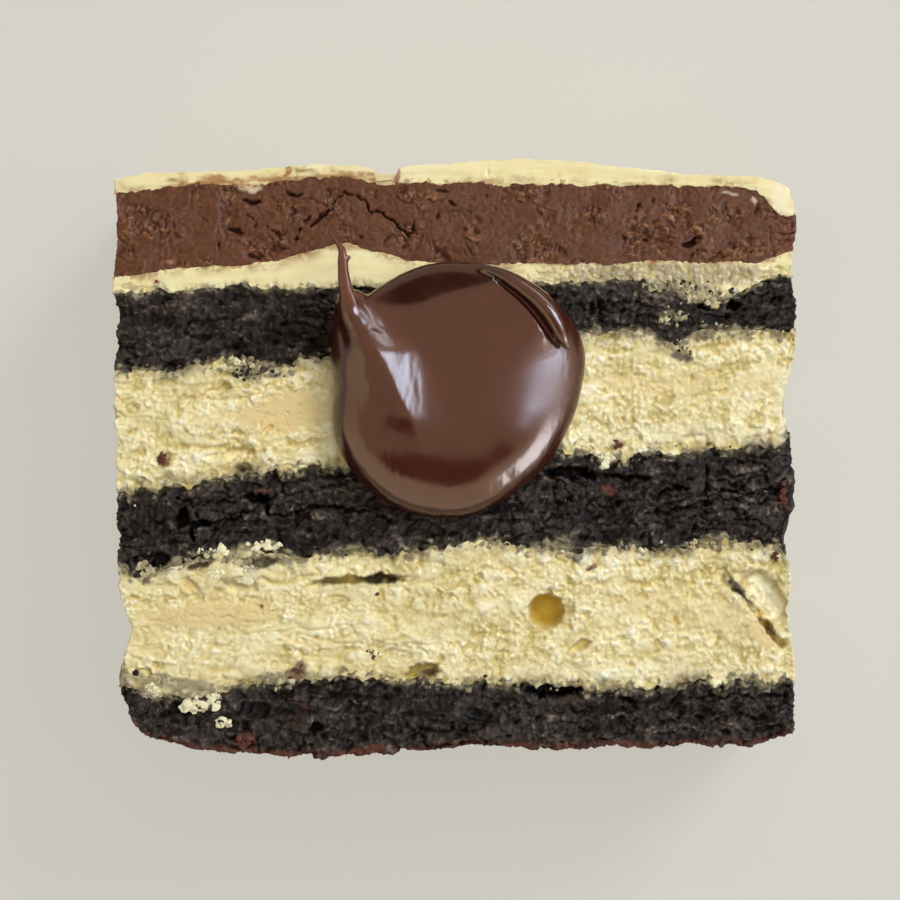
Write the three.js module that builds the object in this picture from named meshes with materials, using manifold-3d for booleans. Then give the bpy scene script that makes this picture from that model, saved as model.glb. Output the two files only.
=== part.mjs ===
// A slice of chocolate and vanilla layer cake, lying on one cut face with a spoonful of chocolate on the
// other. Millimetres. X runs along the layers, Y from the baked base to the cream topping, and Z up to the
// shown cut face. The origin is the middle of the resting face.
import * as THREE from "three";
import { mergeVertices } from "three/addons/utils/BufferGeometryUtils.js";
import Module from "manifold-3d";

const wasm = await Module();
wasm.setup();

// The slice
const LENGTH = 70; // from cut end to cut end
const THICKNESS = 30; // from the resting cut face to the shown one
const GAP = 0.3; // clear space between neighbouring solids
const WANDER = 0.45; // how far a boundary strays below the shown face
const WANDER_SIZE = 11; // the length of one stray
const HUMP_DEPTH = 5; // the depth of a hump below the shown face, in half widths
const SLOPE_STEP = 0.05; // half of the span that a line's slope is taken over
const ROUGH_END = 0.4; // height of the crumb on the cut ends
const ROUGH_END_SIZE = 2.2;
const END_SEED = 20;
const CRAG_LENGTH = 2.3; // one crag of the shown face, along and across the layers
const CRAG_WIDTH = 1.5;
const CRAG_SEED = 40;

// The lattice that each layer is faceted on, and the facets of a hole
const CELLS_ALONG = 44;
const CELLS_DEEP = 3;
const HOLE_SIDES = 14;
const HOLE_RINGS = 8;

// The spoonful of chocolate. Angles are in degrees from +X.
const DOLLOP_X = 0.3;
const DOLLOP_Y = 6.5;
const DOLLOP_RADIUS = 12.9;
const DOLLOP_BULGES = [[220, 0.8, 34], [28, 0.85, 28], [318, -1, 30]]; // angle, height and half width
const DOLLOP_HEIGHT = 6.2; // of its broad face above the cake
const DOLLOP_EDGE = 1.1; // height of its widest rim above the cake
const DOLLOP_FOOT = 0.95; // the foot's radius as a share of the rim's
const DOLLOP_CLEARING = 2; // width of the ring round it where the crumb flattens out
const DOLLOP_SIDES = 56;
const DOLLOP_RINGS = 13;
const FACE_POWER = 4; // how squarely the face turns down to the rim
const TILT = 0.9; // how much higher the face is on the tail's side
const TILT_ANGLE = 144;
const RIDGE_HEIGHT = 1.9; // of the crest that runs into the tail
const RIDGE_HALF_WIDTH = 1.7;
const RIDGE_POWER = 6; // how late the crest fades out towards the rim
const RIDGE_SHARE = 0.5; // how much of the crest's line lies on the face
const RIDGE_SAMPLES = 24;
const LIP_HEIGHT = 0.75; // of the rolled rim on the side away from the tail
const LIP_HALF_WIDTH = 0.055; // as a share of the radius
const LIP_PLACE = 0.9;
const LIP_ANGLE = 48;
const LIP_HALF_TURN = 30;
const GROOVE_PLACE = 0.79;
const GROOVE_DEPTH = 0.6;
const TAIL_SIDES = 3; // cells across each side of the tail's section
const TAIL_STEPS = 16;

const COLOURS = {
  dark: { color: 0x2c2520, roughness: 0.9 },
  vanilla: { color: 0xdac891, roughness: 0.85 },
  fudge: { color: 0x603e2c, roughness: 0.65 },
  cream: { color: 0xe5d9a6, roughness: 0.5 },
  glossy: { color: 0x54342a, roughness: 0.18 },
};

// The uneven line between two layers: a level, its rise from the left end to the right, and humps of
// [place along X, height, half width], where a dip has a negative height.
const LINES = [
  { level: -30.3, rise: 0.9, humps: [[-17, -0.6, 7], [35, 1.3, 2], [0.2, 0.3, 2], [-34.5, 1.4, 4]] },
  { level: -23.7, rise: 0.5, humps: [[-28, -1.4, 4], [-13, 0.9, 6], [-3, 0.5, 4], [16, -0.5, 7]] },
  {
    level: -10,
    rise: 1,
    humps: [[-36, -1.9, 6], [-28, -0.5, 2.5], [-22, 0.5, 3], [3, 1.1, 6], [29, 0.8, 3]],
  },
  {
    level: -0.9,
    rise: 3.4,
    humps: [[-36, -1.2, 5], [-28, -0.8, 4], [-20.5, 0.7, 1.8], [-12, 0.4, 3], [11, 0.6, 4], [17, -0.6, 2.5]],
  },
  {
    level: 10.9,
    rise: 4.2,
    humps: [[-24, -0.6, 9], [-24, 1.2, 1.8], [-20, -0.7, 1.6], [15, 1.2, 5], [22, -1.3, 1.6]],
  },
  {
    level: 17.4,
    rise: 0.9,
    humps: [[-21.8, 1, 1.7], [0, 0.6, 9], [17, 0.6, 4], [25.8, -1.8, 3.2], [29.6, -0.9, 1.6], [35, 0.8, 2]],
  },
  { level: 19.7, rise: 0.5, humps: [[-11.5, 2.2, 5.2], [-35, -1.2, 5], [35, 1.3, 2]] },
  {
    level: 27.9,
    rise: -0.4,
    humps: [[-12, 0.8, 5], [-35, -1.1, 5], [-21, -0.8, 1.5], [33.5, -3.5, 1.05], [35.2, -2.4, 1.2]],
  },
  {
    level: 28.9,
    rise: -0.5,
    humps: [[8, 1.7, 12], [-14, 0.9, 9], [-7.1, -1, 1], [-35, -0.9, 2], [35, -0.9, 1.6]],
  },
];

// The two cut ends stray from a straight cut in the same way, by [place along Y, depth, half width].
const LEFT_DENTS = [[-18.5, 1.6, 3], [-31, 4, 4], [-10, 0.5, 3]];
const RIGHT_DENTS = [[3.5, 1, 4], [-8, 1.5, 1.5], [-16, 0.7, 4], [29, 0.5, 2]];

// The layers from the baked base up to the topping. rows are lattice cells across the layer, crag is the
// height of its crumb on the cut face, and proud is how far that face stands above the others.
const LAYERS = [
  { name: "chocolate_cake_base", look: "dark", rows: 4, crag: 0.4, proud: -0.1 },
  { name: "vanilla_cake_lower", look: "vanilla", rows: 6, crag: 0.35, proud: 0.1 },
  { name: "chocolate_cake_middle", look: "dark", rows: 5, crag: 0.4, proud: -0.1 },
  { name: "vanilla_cake_upper", look: "vanilla", rows: 5, crag: 0.3, proud: 0.1 },
  { name: "chocolate_cake_upper", look: "dark", rows: 4, crag: 0.4, proud: -0.1 },
  { name: "cream_filling", look: "cream", rows: 2, crag: 0.15, proud: 0 },
  { name: "fudge_layer", look: "fudge", rows: 4, crag: 0.2, proud: 0.05 },
  { name: "cream_topping", look: "cream", rows: 2, crag: 0.15, proud: 0 },
];

// Holes in the shown face: [x, y, half length, half width, depth] of each, and the layer that it is in.
const HOLES = [
  { layer: "vanilla_cake_lower", size: [9.4, -16.2, 1.8, 1.8, 4] }, // the round bubble
  { layer: "vanilla_cake_lower", size: [-9.2, -13, 3.6, 0.55, 2.2] }, // a slit under the middle layer
  { layer: "vanilla_cake_lower", size: [-2.3, -21.6, 0.9, 1.2, 1.6] },
  { layer: "vanilla_cake_lower", size: [32.2, -15, 1.5, 3.2, 1.3] }, // the torn pocket at the right end
  { layer: "chocolate_cake_base", size: [10.4, -24.9, 3.4, 0.5, 1.8] }, // a slot under the lower vanilla
  { layer: "chocolate_cake_middle", size: [-24.6, -6.6, 1.6, 1, 1.6] },
  { layer: "chocolate_cake_upper", size: [27.6, 14.6, 0.9, 0.9, 1.8] },
];

const bump = (distance) => Math.exp(-distance * distance);
const smoothstep = (t) => t * t * (3 - 2 * t);

// The angle from one direction to another, between -180 and 180 degrees.
const turnFrom = (start, angle) => ((angle - start + 540) % 360) - 180;

// The humps added up at a place along a line. A narrow one dies out within a short depth below the shown
// face.
function sumOfHumps(humps, at, z) {
  return humps.reduce((sum, [place, height, half]) => {
    const depth = (THICKNESS - z) / (HUMP_DEPTH * half);
    return sum + height * bump((at - place) / half) * bump(depth);
  }, 0);
}

// A hashed number between -1 and 1 for each lattice point: the last digits of a large, fast wave.
const HASH = { i: 127.1, j: 311.7, seed: 74.7, wave: 43758.5453 };

function hash(i, j, seed) {
  const wave = Math.sin(i * HASH.i + j * HASH.j + seed * HASH.seed) * HASH.wave;
  return 2 * (wave - Math.floor(wave)) - 1;
}

// Smooth noise between -1 and 1, with cells of 1.
function noise(x, y, seed) {
  const [i, j] = [Math.floor(x), Math.floor(y)];
  const [u, v] = [smoothstep(x - i), smoothstep(y - j)];
  const low = THREE.MathUtils.lerp(hash(i, j, seed), hash(i + 1, j, seed), u);
  const high = THREE.MathUtils.lerp(hash(i, j + 1, seed), hash(i + 1, j + 1, seed), u);
  return THREE.MathUtils.lerp(low, high, v);
}

// The height of boundary line n in Y, at a place along X and a height in Z. It is exact at the shown face.
function lineAt(n, x, z) {
  const { level, rise, humps } = LINES[n];
  const strayed = WANDER * (1 - z / THICKNESS) * noise(x / WANDER_SIZE, z / WANDER_SIZE, n);
  return level + (rise * x) / LENGTH + sumOfHumps(humps, x, z) + strayed;
}

// Half of the gap between two layers, measured along Y, so that it stays as wide where their line is steep.
function halfGapAt(n, x, z) {
  const slope = (lineAt(n, x + SLOPE_STEP, z) - lineAt(n, x - SLOPE_STEP, z)) / (2 * SLOPE_STEP);
  return (GAP / 2) * Math.hypot(1, slope);
}

// The closed surface of a lattice of nx by ny by nz cells, with each lattice point put where place(u, v, w)
// says.
function latticeSolid(nx, ny, nz, place) {
  const numbers = new Map();
  const positions = [];
  const triangles = [];
  const at = (i, j, k) => {
    const key = `${i} ${j} ${k}`;
    if (!numbers.has(key)) {
      numbers.set(key, positions.length / 3);
      positions.push(...place(i / nx, j / ny, k / nz));
    }
    return numbers.get(key);
  };
  const quad = (a, b, c, d) => triangles.push(a, b, c, a, c, d);
  for (let i = 0; i < nx; i++)
    for (let j = 0; j < ny; j++) {
      quad(at(i, j, 0), at(i, j + 1, 0), at(i + 1, j + 1, 0), at(i + 1, j, 0));
      quad(at(i, j, nz), at(i + 1, j, nz), at(i + 1, j + 1, nz), at(i, j + 1, nz));
    }
  for (let i = 0; i < nx; i++)
    for (let k = 0; k < nz; k++) {
      quad(at(i, 0, k), at(i + 1, 0, k), at(i + 1, 0, k + 1), at(i, 0, k + 1));
      quad(at(i, ny, k), at(i, ny, k + 1), at(i + 1, ny, k + 1), at(i + 1, ny, k));
    }
  for (let j = 0; j < ny; j++)
    for (let k = 0; k < nz; k++) {
      quad(at(0, j, k), at(0, j, k + 1), at(0, j + 1, k + 1), at(0, j + 1, k));
      quad(at(nx, j, k), at(nx, j + 1, k), at(nx, j + 1, k + 1), at(nx, j, k + 1));
    }
  return geometryOf(positions, triangles);
}

function geometryOf(positions, triangles) {
  const geometry = new THREE.BufferGeometry();
  geometry.setAttribute("position", new THREE.Float32BufferAttribute(positions, 3));
  geometry.setIndex(triangles);
  return geometry;
}

// A closed geometry as a solid that can be cut and joined, and back again.
function solidOf(geometry) {
  const bare = geometry.clone();
  bare.deleteAttribute("normal");
  bare.deleteAttribute("uv");
  const merged = mergeVertices(bare, 1e-4);
  const vertProperties = merged.attributes.position.array;
  const triVerts = new Uint32Array(merged.index.array);
  return new wasm.Manifold(new wasm.Mesh({ numProp: 3, vertProperties, triVerts }));
}

function geometryFrom(solid) {
  const { vertProperties, triVerts } = solid.getMesh();
  return geometryOf(Array.from(vertProperties), Array.from(triVerts));
}

// How far a place on the shown face lies outside the spoonful, from 0 under it to 1 well clear of it.
function clearOfDollop(x, y) {
  const distance = Math.hypot(x - DOLLOP_X, y - DOLLOP_Y) - DOLLOP_RADIUS;
  return smoothstep(THREE.MathUtils.clamp(distance / DOLLOP_CLEARING, 0, 1));
}

// The layer between boundary lines n and n + 1, with crumb on its shown face and its two cut ends.
function layerGeometry(n) {
  const { rows, crag, proud } = LAYERS[n];
  const isLast = n === LAYERS.length - 1;
  return latticeSolid(CELLS_ALONG, rows, CELLS_DEEP, (u, v, w) => {
    const straight = (u - 0.5) * LENGTH;
    const flat = w * THICKNESS;
    const low = lineAt(n, straight, flat) + (n === 0 ? 0 : halfGapAt(n, straight, flat));
    const high = lineAt(n + 1, straight, flat) - (isLast ? 0 : halfGapAt(n + 1, straight, flat));
    const y = THREE.MathUtils.lerp(low, high, v);
    const roughEnd = ROUGH_END * noise(y / ROUGH_END_SIZE, flat / ROUGH_END_SIZE, END_SEED);
    const left = -LENGTH / 2 + sumOfHumps(LEFT_DENTS, y, flat) + roughEnd;
    const right = LENGTH / 2 - sumOfHumps(RIGHT_DENTS, y, flat) + roughEnd;
    const x = THREE.MathUtils.lerp(left, right, u);
    const crumb = crag * noise(x / CRAG_LENGTH, y / CRAG_WIDTH, CRAG_SEED + n) + proud;
    const top = THICKNESS + Math.min(crumb * clearOfDollop(x, y), GAP);
    return [x, y, w === 1 ? top : flat];
  });
}

// One hole in the shown face, round in plan at its mouth and rounded at its floor.
function holeSolid([x, y, halfLength, halfWidth, depth]) {
  const hole = new THREE.SphereGeometry(1, HOLE_SIDES, HOLE_RINGS);
  hole.scale(halfLength, halfWidth, depth);
  hole.translate(x, y, THICKNESS);
  return solidOf(hole);
}

function layerMesh(n) {
  const { name, look } = LAYERS[n];
  const holes = HOLES.filter((hole) => hole.layer === name);
  const uncut = solidOf(layerGeometry(n));
  const cut = holes.reduce((solid, hole) => solid.subtract(holeSolid(hole.size)), uncut);
  return namedMesh(name, geometryFrom(cut), look);
}

function namedMesh(name, geometry, look) {
  geometry.computeVertexNormals();
  const mesh = new THREE.Mesh(geometry, new THREE.MeshStandardMaterial({ metalness: 0, ...COLOURS[look] }));
  mesh.name = name;
  return mesh;
}

// The line of the spoonful's crest and tail, from the middle of its face out to the tip over the cream,
// with heights above the cake.
const CREST = new THREE.CatmullRomCurve3(
  [
    [-4.6, 3.6, 4.6],
    [-6.9, 8.2, 6.2],
    [-9.4, 12.6, 6.8],
    [-10.6, 16.2, 6.7],
    [-11.3, 19.6, 6],
    [-11.7, 21.4, 5],
    [-12.8, 22.9, 3.6],
  ].map((point) => new THREE.Vector3(...point)),
);
// The tail's half width along that line: broad inside the spoonful, a neck, and a fine tip.
const TAIL_HALF_WIDTHS = [1.2, 1.6, 1.4, 0.85, 0.65, 0.45, 0.12];

function tailHalfWidth(u) {
  const place = u * (TAIL_HALF_WIDTHS.length - 1);
  const before = Math.min(Math.floor(place), TAIL_HALF_WIDTHS.length - 2);
  return THREE.MathUtils.lerp(TAIL_HALF_WIDTHS[before], TAIL_HALF_WIDTHS[before + 1], place - before);
}

// The spoonful's radius at an angle: nearly round, with fuller and flatter parts.
function dollopRadius(angle) {
  return DOLLOP_BULGES.reduce(
    (radius, [centre, height, half]) => radius + height * bump(turnFrom(centre, angle) / half),
    DOLLOP_RADIUS,
  );
}

// How far the crest stands up at a place on the spoonful.
function crestAt(x, y) {
  let nearest = Infinity;
  for (let i = 0; i <= RIDGE_SAMPLES; i++) {
    const point = CREST.getPoint((RIDGE_SHARE * i) / RIDGE_SAMPLES);
    nearest = Math.min(nearest, Math.hypot(x - point.x, y - point.y));
  }
  return RIDGE_HEIGHT * bump(nearest / RIDGE_HALF_WIDTH);
}

// The rolled rim and the groove inside it, at an angle and a share of the radius.
function lipAt(angle, share) {
  const along = bump(turnFrom(LIP_ANGLE, angle) / LIP_HALF_TURN);
  const roll = LIP_HEIGHT * bump((share - LIP_PLACE) / LIP_HALF_WIDTH);
  const groove = GROOVE_DEPTH * bump((share - GROOVE_PLACE) / LIP_HALF_WIDTH);
  return along * (roll - groove);
}

// How far the face at an angle and a share of the radius stands above the rim's plain round section.
function faceRelief(x, y, angle, share) {
  const towardsTail = Math.cos(THREE.MathUtils.degToRad(angle - TILT_ANGLE));
  const tilt = TILT * share * towardsTail * (1 - share ** FACE_POWER);
  return crestAt(x, y) * (1 - share ** RIDGE_POWER) + lipAt(angle, share) + tilt;
}

// The spoonful's body: rings from the middle of its face out to the rim, then in to its foot.
function dollopBody() {
  const positions = [];
  const triangles = [];
  const spot = (angle, share, height) => {
    const radius = dollopRadius(angle) * share;
    const turn = THREE.MathUtils.degToRad(angle);
    const [x, y] = [DOLLOP_X + radius * Math.cos(turn), DOLLOP_Y + radius * Math.sin(turn)];
    positions.push(x, y, height > 0 ? height + faceRelief(x, y, angle, share) : 0);
  };
  const angleOf = (i) => (i * 360) / DOLLOP_SIDES;
  for (let ring = 1; ring <= DOLLOP_RINGS; ring++) {
    const share = Math.sin((ring / DOLLOP_RINGS) * (Math.PI / 2));
    const round = Math.sqrt(1 - share ** FACE_POWER);
    const height = DOLLOP_EDGE + (DOLLOP_HEIGHT - DOLLOP_EDGE) * round;
    for (let i = 0; i < DOLLOP_SIDES; i++) spot(angleOf(i), share, height);
  }
  for (let i = 0; i < DOLLOP_SIDES; i++) spot(angleOf(i), DOLLOP_FOOT, 0);
  const [top, bottom] = [positions.length / 3, positions.length / 3 + 1];
  spot(0, 0, DOLLOP_HEIGHT);
  spot(0, 0, 0);
  const foot = DOLLOP_RINGS * DOLLOP_SIDES;
  for (let i = 0; i < DOLLOP_SIDES; i++) {
    const next = (i + 1) % DOLLOP_SIDES;
    triangles.push(top, i, next, bottom, foot + next, foot + i);
    for (let inner = 0; inner < foot; inner += DOLLOP_SIDES) {
      const outer = inner + DOLLOP_SIDES;
      triangles.push(inner + i, outer + i, outer + next, inner + i, outer + next, inner + next);
    }
  }
  return geometryOf(positions, triangles);
}

// The tail: a square lattice whose section is pushed out to a circle and narrows to the tip.
function dollopTail() {
  return latticeSolid(TAIL_STEPS, TAIL_SIDES, TAIL_SIDES, (u, v, w) => {
    const middle = CREST.getPoint(u);
    const along = CREST.getTangent(u);
    const across = new THREE.Vector3(along.y, -along.x, 0).normalize().negate();
    const up = new THREE.Vector3().crossVectors(along, across);
    const [a, b] = [2 * v - 1, 2 * w - 1];
    const toCircle = Math.max(Math.abs(a), Math.abs(b)) / Math.max(Math.hypot(a, b), 1e-6);
    const half = tailHalfWidth(u) * toCircle;
    return middle.addScaledVector(across, a * half).addScaledVector(up, b * half).toArray();
  });
}

function dollopMesh() {
  const joined = solidOf(dollopBody()).add(solidOf(dollopTail()));
  const mesh = namedMesh("chocolate_dollop", geometryFrom(joined), "glossy");
  mesh.position.z = THICKNESS + 2 * GAP;
  return mesh;
}

const slice = new THREE.Group();
LAYERS.forEach((_, n) => slice.add(layerMesh(n)));
slice.add(dollopMesh());

// The origin goes to the middle of the resting face.
const middle = new THREE.Box3().setFromObject(slice, true).getCenter(new THREE.Vector3());
slice.position.set(-middle.x, -middle.y, 0);

export default slice;
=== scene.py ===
import math

import bmesh
import bpy
import numpy as np
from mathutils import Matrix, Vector
from mathutils.bvhtree import BVHTree


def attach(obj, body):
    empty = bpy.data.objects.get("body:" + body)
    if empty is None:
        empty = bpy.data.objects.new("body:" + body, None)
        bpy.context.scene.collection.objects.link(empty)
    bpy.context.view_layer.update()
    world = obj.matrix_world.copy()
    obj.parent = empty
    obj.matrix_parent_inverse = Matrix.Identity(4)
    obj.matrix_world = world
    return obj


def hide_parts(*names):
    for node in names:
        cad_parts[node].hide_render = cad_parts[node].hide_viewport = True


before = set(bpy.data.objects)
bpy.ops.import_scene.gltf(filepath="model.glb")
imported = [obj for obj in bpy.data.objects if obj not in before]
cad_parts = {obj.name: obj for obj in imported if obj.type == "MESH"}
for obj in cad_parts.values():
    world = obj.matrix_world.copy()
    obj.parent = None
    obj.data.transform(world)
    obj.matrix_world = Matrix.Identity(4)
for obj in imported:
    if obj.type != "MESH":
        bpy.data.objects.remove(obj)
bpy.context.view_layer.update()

MM = 0.001

# The layers from the baked base up to the topping. rows are cells across the layer on its cut face.
LAYERS = [
    {"node": "chocolate_cake_base", "kind": "dark", "slot": "chocolate_cake", "rows": 48},
    {"node": "vanilla_cake_lower", "kind": "vanilla", "slot": "vanilla_cake", "rows": 96},
    {"node": "chocolate_cake_middle", "kind": "dark", "slot": "chocolate_cake", "rows": 68},
    {"node": "vanilla_cake_upper", "kind": "vanilla", "slot": "vanilla_cake", "rows": 84},
    {"node": "chocolate_cake_upper", "kind": "dark", "slot": "chocolate_cake", "rows": 56},
    {"node": "cream_filling", "kind": "cream", "slot": "cream", "rows": 24},
    {"node": "fudge_layer", "kind": "fudge", "slot": "fudge", "rows": 60},
    {"node": "cream_topping", "kind": "cream", "slot": "cream", "rows": 28},
]
COLUMNS = 512  # cells along every layer on its cut face
DEEP_STEP = 0.46  # between the rows that go down the sides
HIDDEN_CELLS = 32  # cells along a side deep down, where a neighbour hides it
REST_CELLS = 128  # cells along every layer on the face that it rests on
FACE_Z = 30.0  # nominal height of the shown cut face
OVERLAP = 0.05  # how far a layer reaches past its line, to close the clear space between the solids
FAR = 90.0  # farther out than any part of the slice
PLUMB = 2.5  # depth to which the sides between layers go straight down from their jagged lines
END_RELIEF = (-0.6, 0.2)  # the lowest and the highest relief on the cut ends

# How uneven each line is, from the base's underside to the top of the topping
LINE_ROUGH = [0.25, 1.1, 1.1, 1.1, 1.1, 0.8, 0.35, 0.45, 0.2]
TOPPING_GAP = (-7.1, 1.15, 1.5)  # the gap in the topping's upper edge: its middle, half width and depth

# How far below the shown face holes, stains and the gap begin, and how far below it they are full
CUT_FADE = (2.0, 1.0)
STAIN_FADE = (4.5, 2.5)
GAP_FADE = (8.0, 1.5)

# Places where the solids are measured: along X and Z, and as shares along and across a layer
X_AT = np.arange(-34.8, 34.9, 0.6)
Z_AT = np.linspace(0.8, 29.2, 13)
U_AT = np.linspace(0.012, 0.988, 90)
V_AT = np.linspace(0.05, 0.95, 9)
END_MARGIN = 0.8  # how far inside a layer's lines its cut ends are measured
TOP_SHARE = 0.22  # how far inside a layer's lines its shown face is measured
DEEPEST_CRAG = 0.45  # what lies lower than this below the face is a hole, which is made afresh here

# Holes in the shown face of each layer: x, y, half length, half width, turn in degrees, depth
HOLES = {
    "chocolate_cake_base": [
        (10.4, -24.1, 3.2, 0.6, 0, 2.0), (17.9, -24.9, 1.3, 0.3, -5, 0.9), (-14.4, -28.0, 0.8, 0.6, 0, 1.2),
        (-27.2, -24.4, 0.7, 0.4, 0, 1.2), (-20.5, -26.2, 1.5, 0.9, 20, 0.8),
        (-24.0, -27.6, 0.9, 0.5, 0, 0.8), (-30.0, -26.6, 0.7, 0.5, 0, 0.8), (25.2, -26.8, 0.5, 0.3, 0, 0.7),
    ],
    "vanilla_cake_lower": [
        (-10.0, -12.7, 4.9, 0.5, 3, 2.4), (-22.0, -13.6, 1.6, 0.5, -8, 0.9),
        (-3.5, -22.1, 1.7, 0.8, 12, 1.8), (13.1, -19.3, 1.1, 0.45, 25, 1.3),
        (22.7, -16.9, 0.45, 0.6, 0, 0.7), (26.9, -18.6, 1.0, 0.5, 10, 0.7), (19.2, -14.4, 0.7, 0.4, 0, 0.6),
        (2.6, -18.4, 0.7, 0.3, 0, 0.5), (-0.7, -19.1, 0.6, 0.3, 0, 0.5),
        (-16.9, -20.0, 1.3, 0.25, -10, 0.6), (-20.3, -15.2, 0.25, 0.2, 0, 0.6),
        (-18.6, -15.6, 0.15, 0.15, 0, 0.5), (27.3, -12.0, 0.8, 0.6, 40, 0.8),
        (21.0, -12.9, 0.5, 0.3, 0, 0.5), (29.6, -12.2, 1.3, 0.6, -20, 0.7),
        (-20.4, -10.7, 2.4, 0.5, 3, 1.2), (-26.2, -10.9, 2.0, 0.35, 14, 1.0),
        (-22.2, -13.2, 1.7, 0.5, 0, 0.9), (-27.7, -13.1, 1.2, 0.7, -25, 0.6),
        (-31.4, -11.4, 1.6, 0.6, 10, 1.0),
    ],
    "chocolate_cake_middle": [
        (-28.1, -6.2, 1.2, 0.5, 70, 1.8), (-26.4, -7.0, 1.3, 0.5, 0, 1.8), (-27.1, -8.0, 0.32, 0.8, 0, 1.6),
        (-20.4, -4.2, 1.5, 0.42, 0, 1.8), (-19.3, -5.4, 0.28, 0.8, 0, 1.6),
        (-31.3, -10.7, 2.0, 0.8, 10, 1.2), (11.9, -1.5, 2.9, 0.7, -4, 2.2),
        (17.7, -2.0, 3.1, 0.28, -2, 1.3), (22.6, -3.4, 1.7, 0.25, 4, 1.1), (33.0, -3.6, 0.9, 0.5, 0, 0.8),
        (13.4, -8.2, 0.5, 0.3, 0, 0.6), (24.9, -7.0, 0.4, 0.35, 0, 0.7),
    ],
    "vanilla_cake_upper": [
        (-23.6, 7.3, 0.6, 0.45, 40, 0.9), (-19.4, 2.9, 0.6, 0.28, 10, 0.5), (-21.8, 0.5, 2.2, 0.55, 8, 0.8),
        (-25.5, 0.0, 1.1, 0.3, 15, 0.6), (-21.9, -1.0, 0.8, 0.5, 20, 1.4), (15.3, 6.8, 0.55, 0.22, 20, 0.6),
        (16.5, 5.8, 0.35, 0.5, 0, 0.7), (17.4, 4.1, 0.35, 0.25, 0, 0.5), (24.1, 8.0, 0.45, 0.3, 0, 0.5),
        (27.3, 6.8, 1.0, 0.28, 15, 0.6), (18.8, 8.5, 0.9, 0.18, -15, 0.4), (25.0, 1.7, 1.7, 0.8, 5, 0.6),
        (24.3, 10.9, 0.2, 0.2, 0, 0.8),
    ],
    "chocolate_cake_upper": [
        (28.8, 15.7, 0.8, 0.5, 10, 1.8), (25.5, 15.7, 0.45, 0.4, 0, 1.4), (33.2, 16.3, 0.6, 0.2, 30, 0.7),
        (-23.0, 11.6, 0.5, 0.3, 0, 0.7), (14.2, 15.6, 0.4, 0.9, 0, 0.6),
    ],
    "fudge_layer": [
        (-20.8, 26.4, 1.1, 0.2, -10, 0.9), (-16.6, 27.2, 1.1, 0.25, -8, 0.8),
        (-22.8, 23.3, 1.0, 0.22, -5, 0.8), (-15.3, 24.8, 0.6, 0.18, 30, 0.6),
        (-24.3, 21.8, 0.14, 0.4, 0, 0.7), (-20.7, 20.9, 0.6, 0.22, -25, 0.7),
        (24.4, 22.3, 0.85, 0.32, 30, 1.1), (18.7, 25.9, 0.16, 0.4, -30, 0.7),
        (20.6, 26.7, 0.18, 0.3, 0, 0.6), (19.5, 22.6, 0.4, 0.18, 0, 0.6), (17.3, 23.0, 0.4, 0.18, 0, 0.6),
        (-0.3, 26.2, 0.5, 0.22, -25, 0.8), (-1.2, 27.4, 0.7, 0.15, 10, 0.7), (3.0, 27.3, 0.22, 0.2, 0, 0.5),
        (0.8, 23.4, 0.3, 0.18, -30, 0.5), (-25.9, 24.5, 0.3, 0.12, 0, 0.3), (-9.5, 22.9, 0.35, 0.3, 0, 0.5),
        (-5.4, 22.0, 0.3, 0.2, 0, 0.5), (-1.6, 25.1, 0.35, 0.3, 0, 0.5), (10.5, 22.0, 0.3, 0.12, 0, 0.4),
        (31.2, 25.6, 0.2, 0.5, 0, 0.5),
    ],
}

# The round bubble, and the torn pocket at the right end. Their ovals are given as for the holes.
BUBBLE = {"node": "vanilla_cake_lower", "oval": (9.4, -15.9, 1.85, 1.85, 0), "depth": 3.6}
POCKET = {"node": "vanilla_cake_lower", "oval": (32.0, -14.4, 2.0, 3.4, 38), "depth": 1.5}

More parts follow.
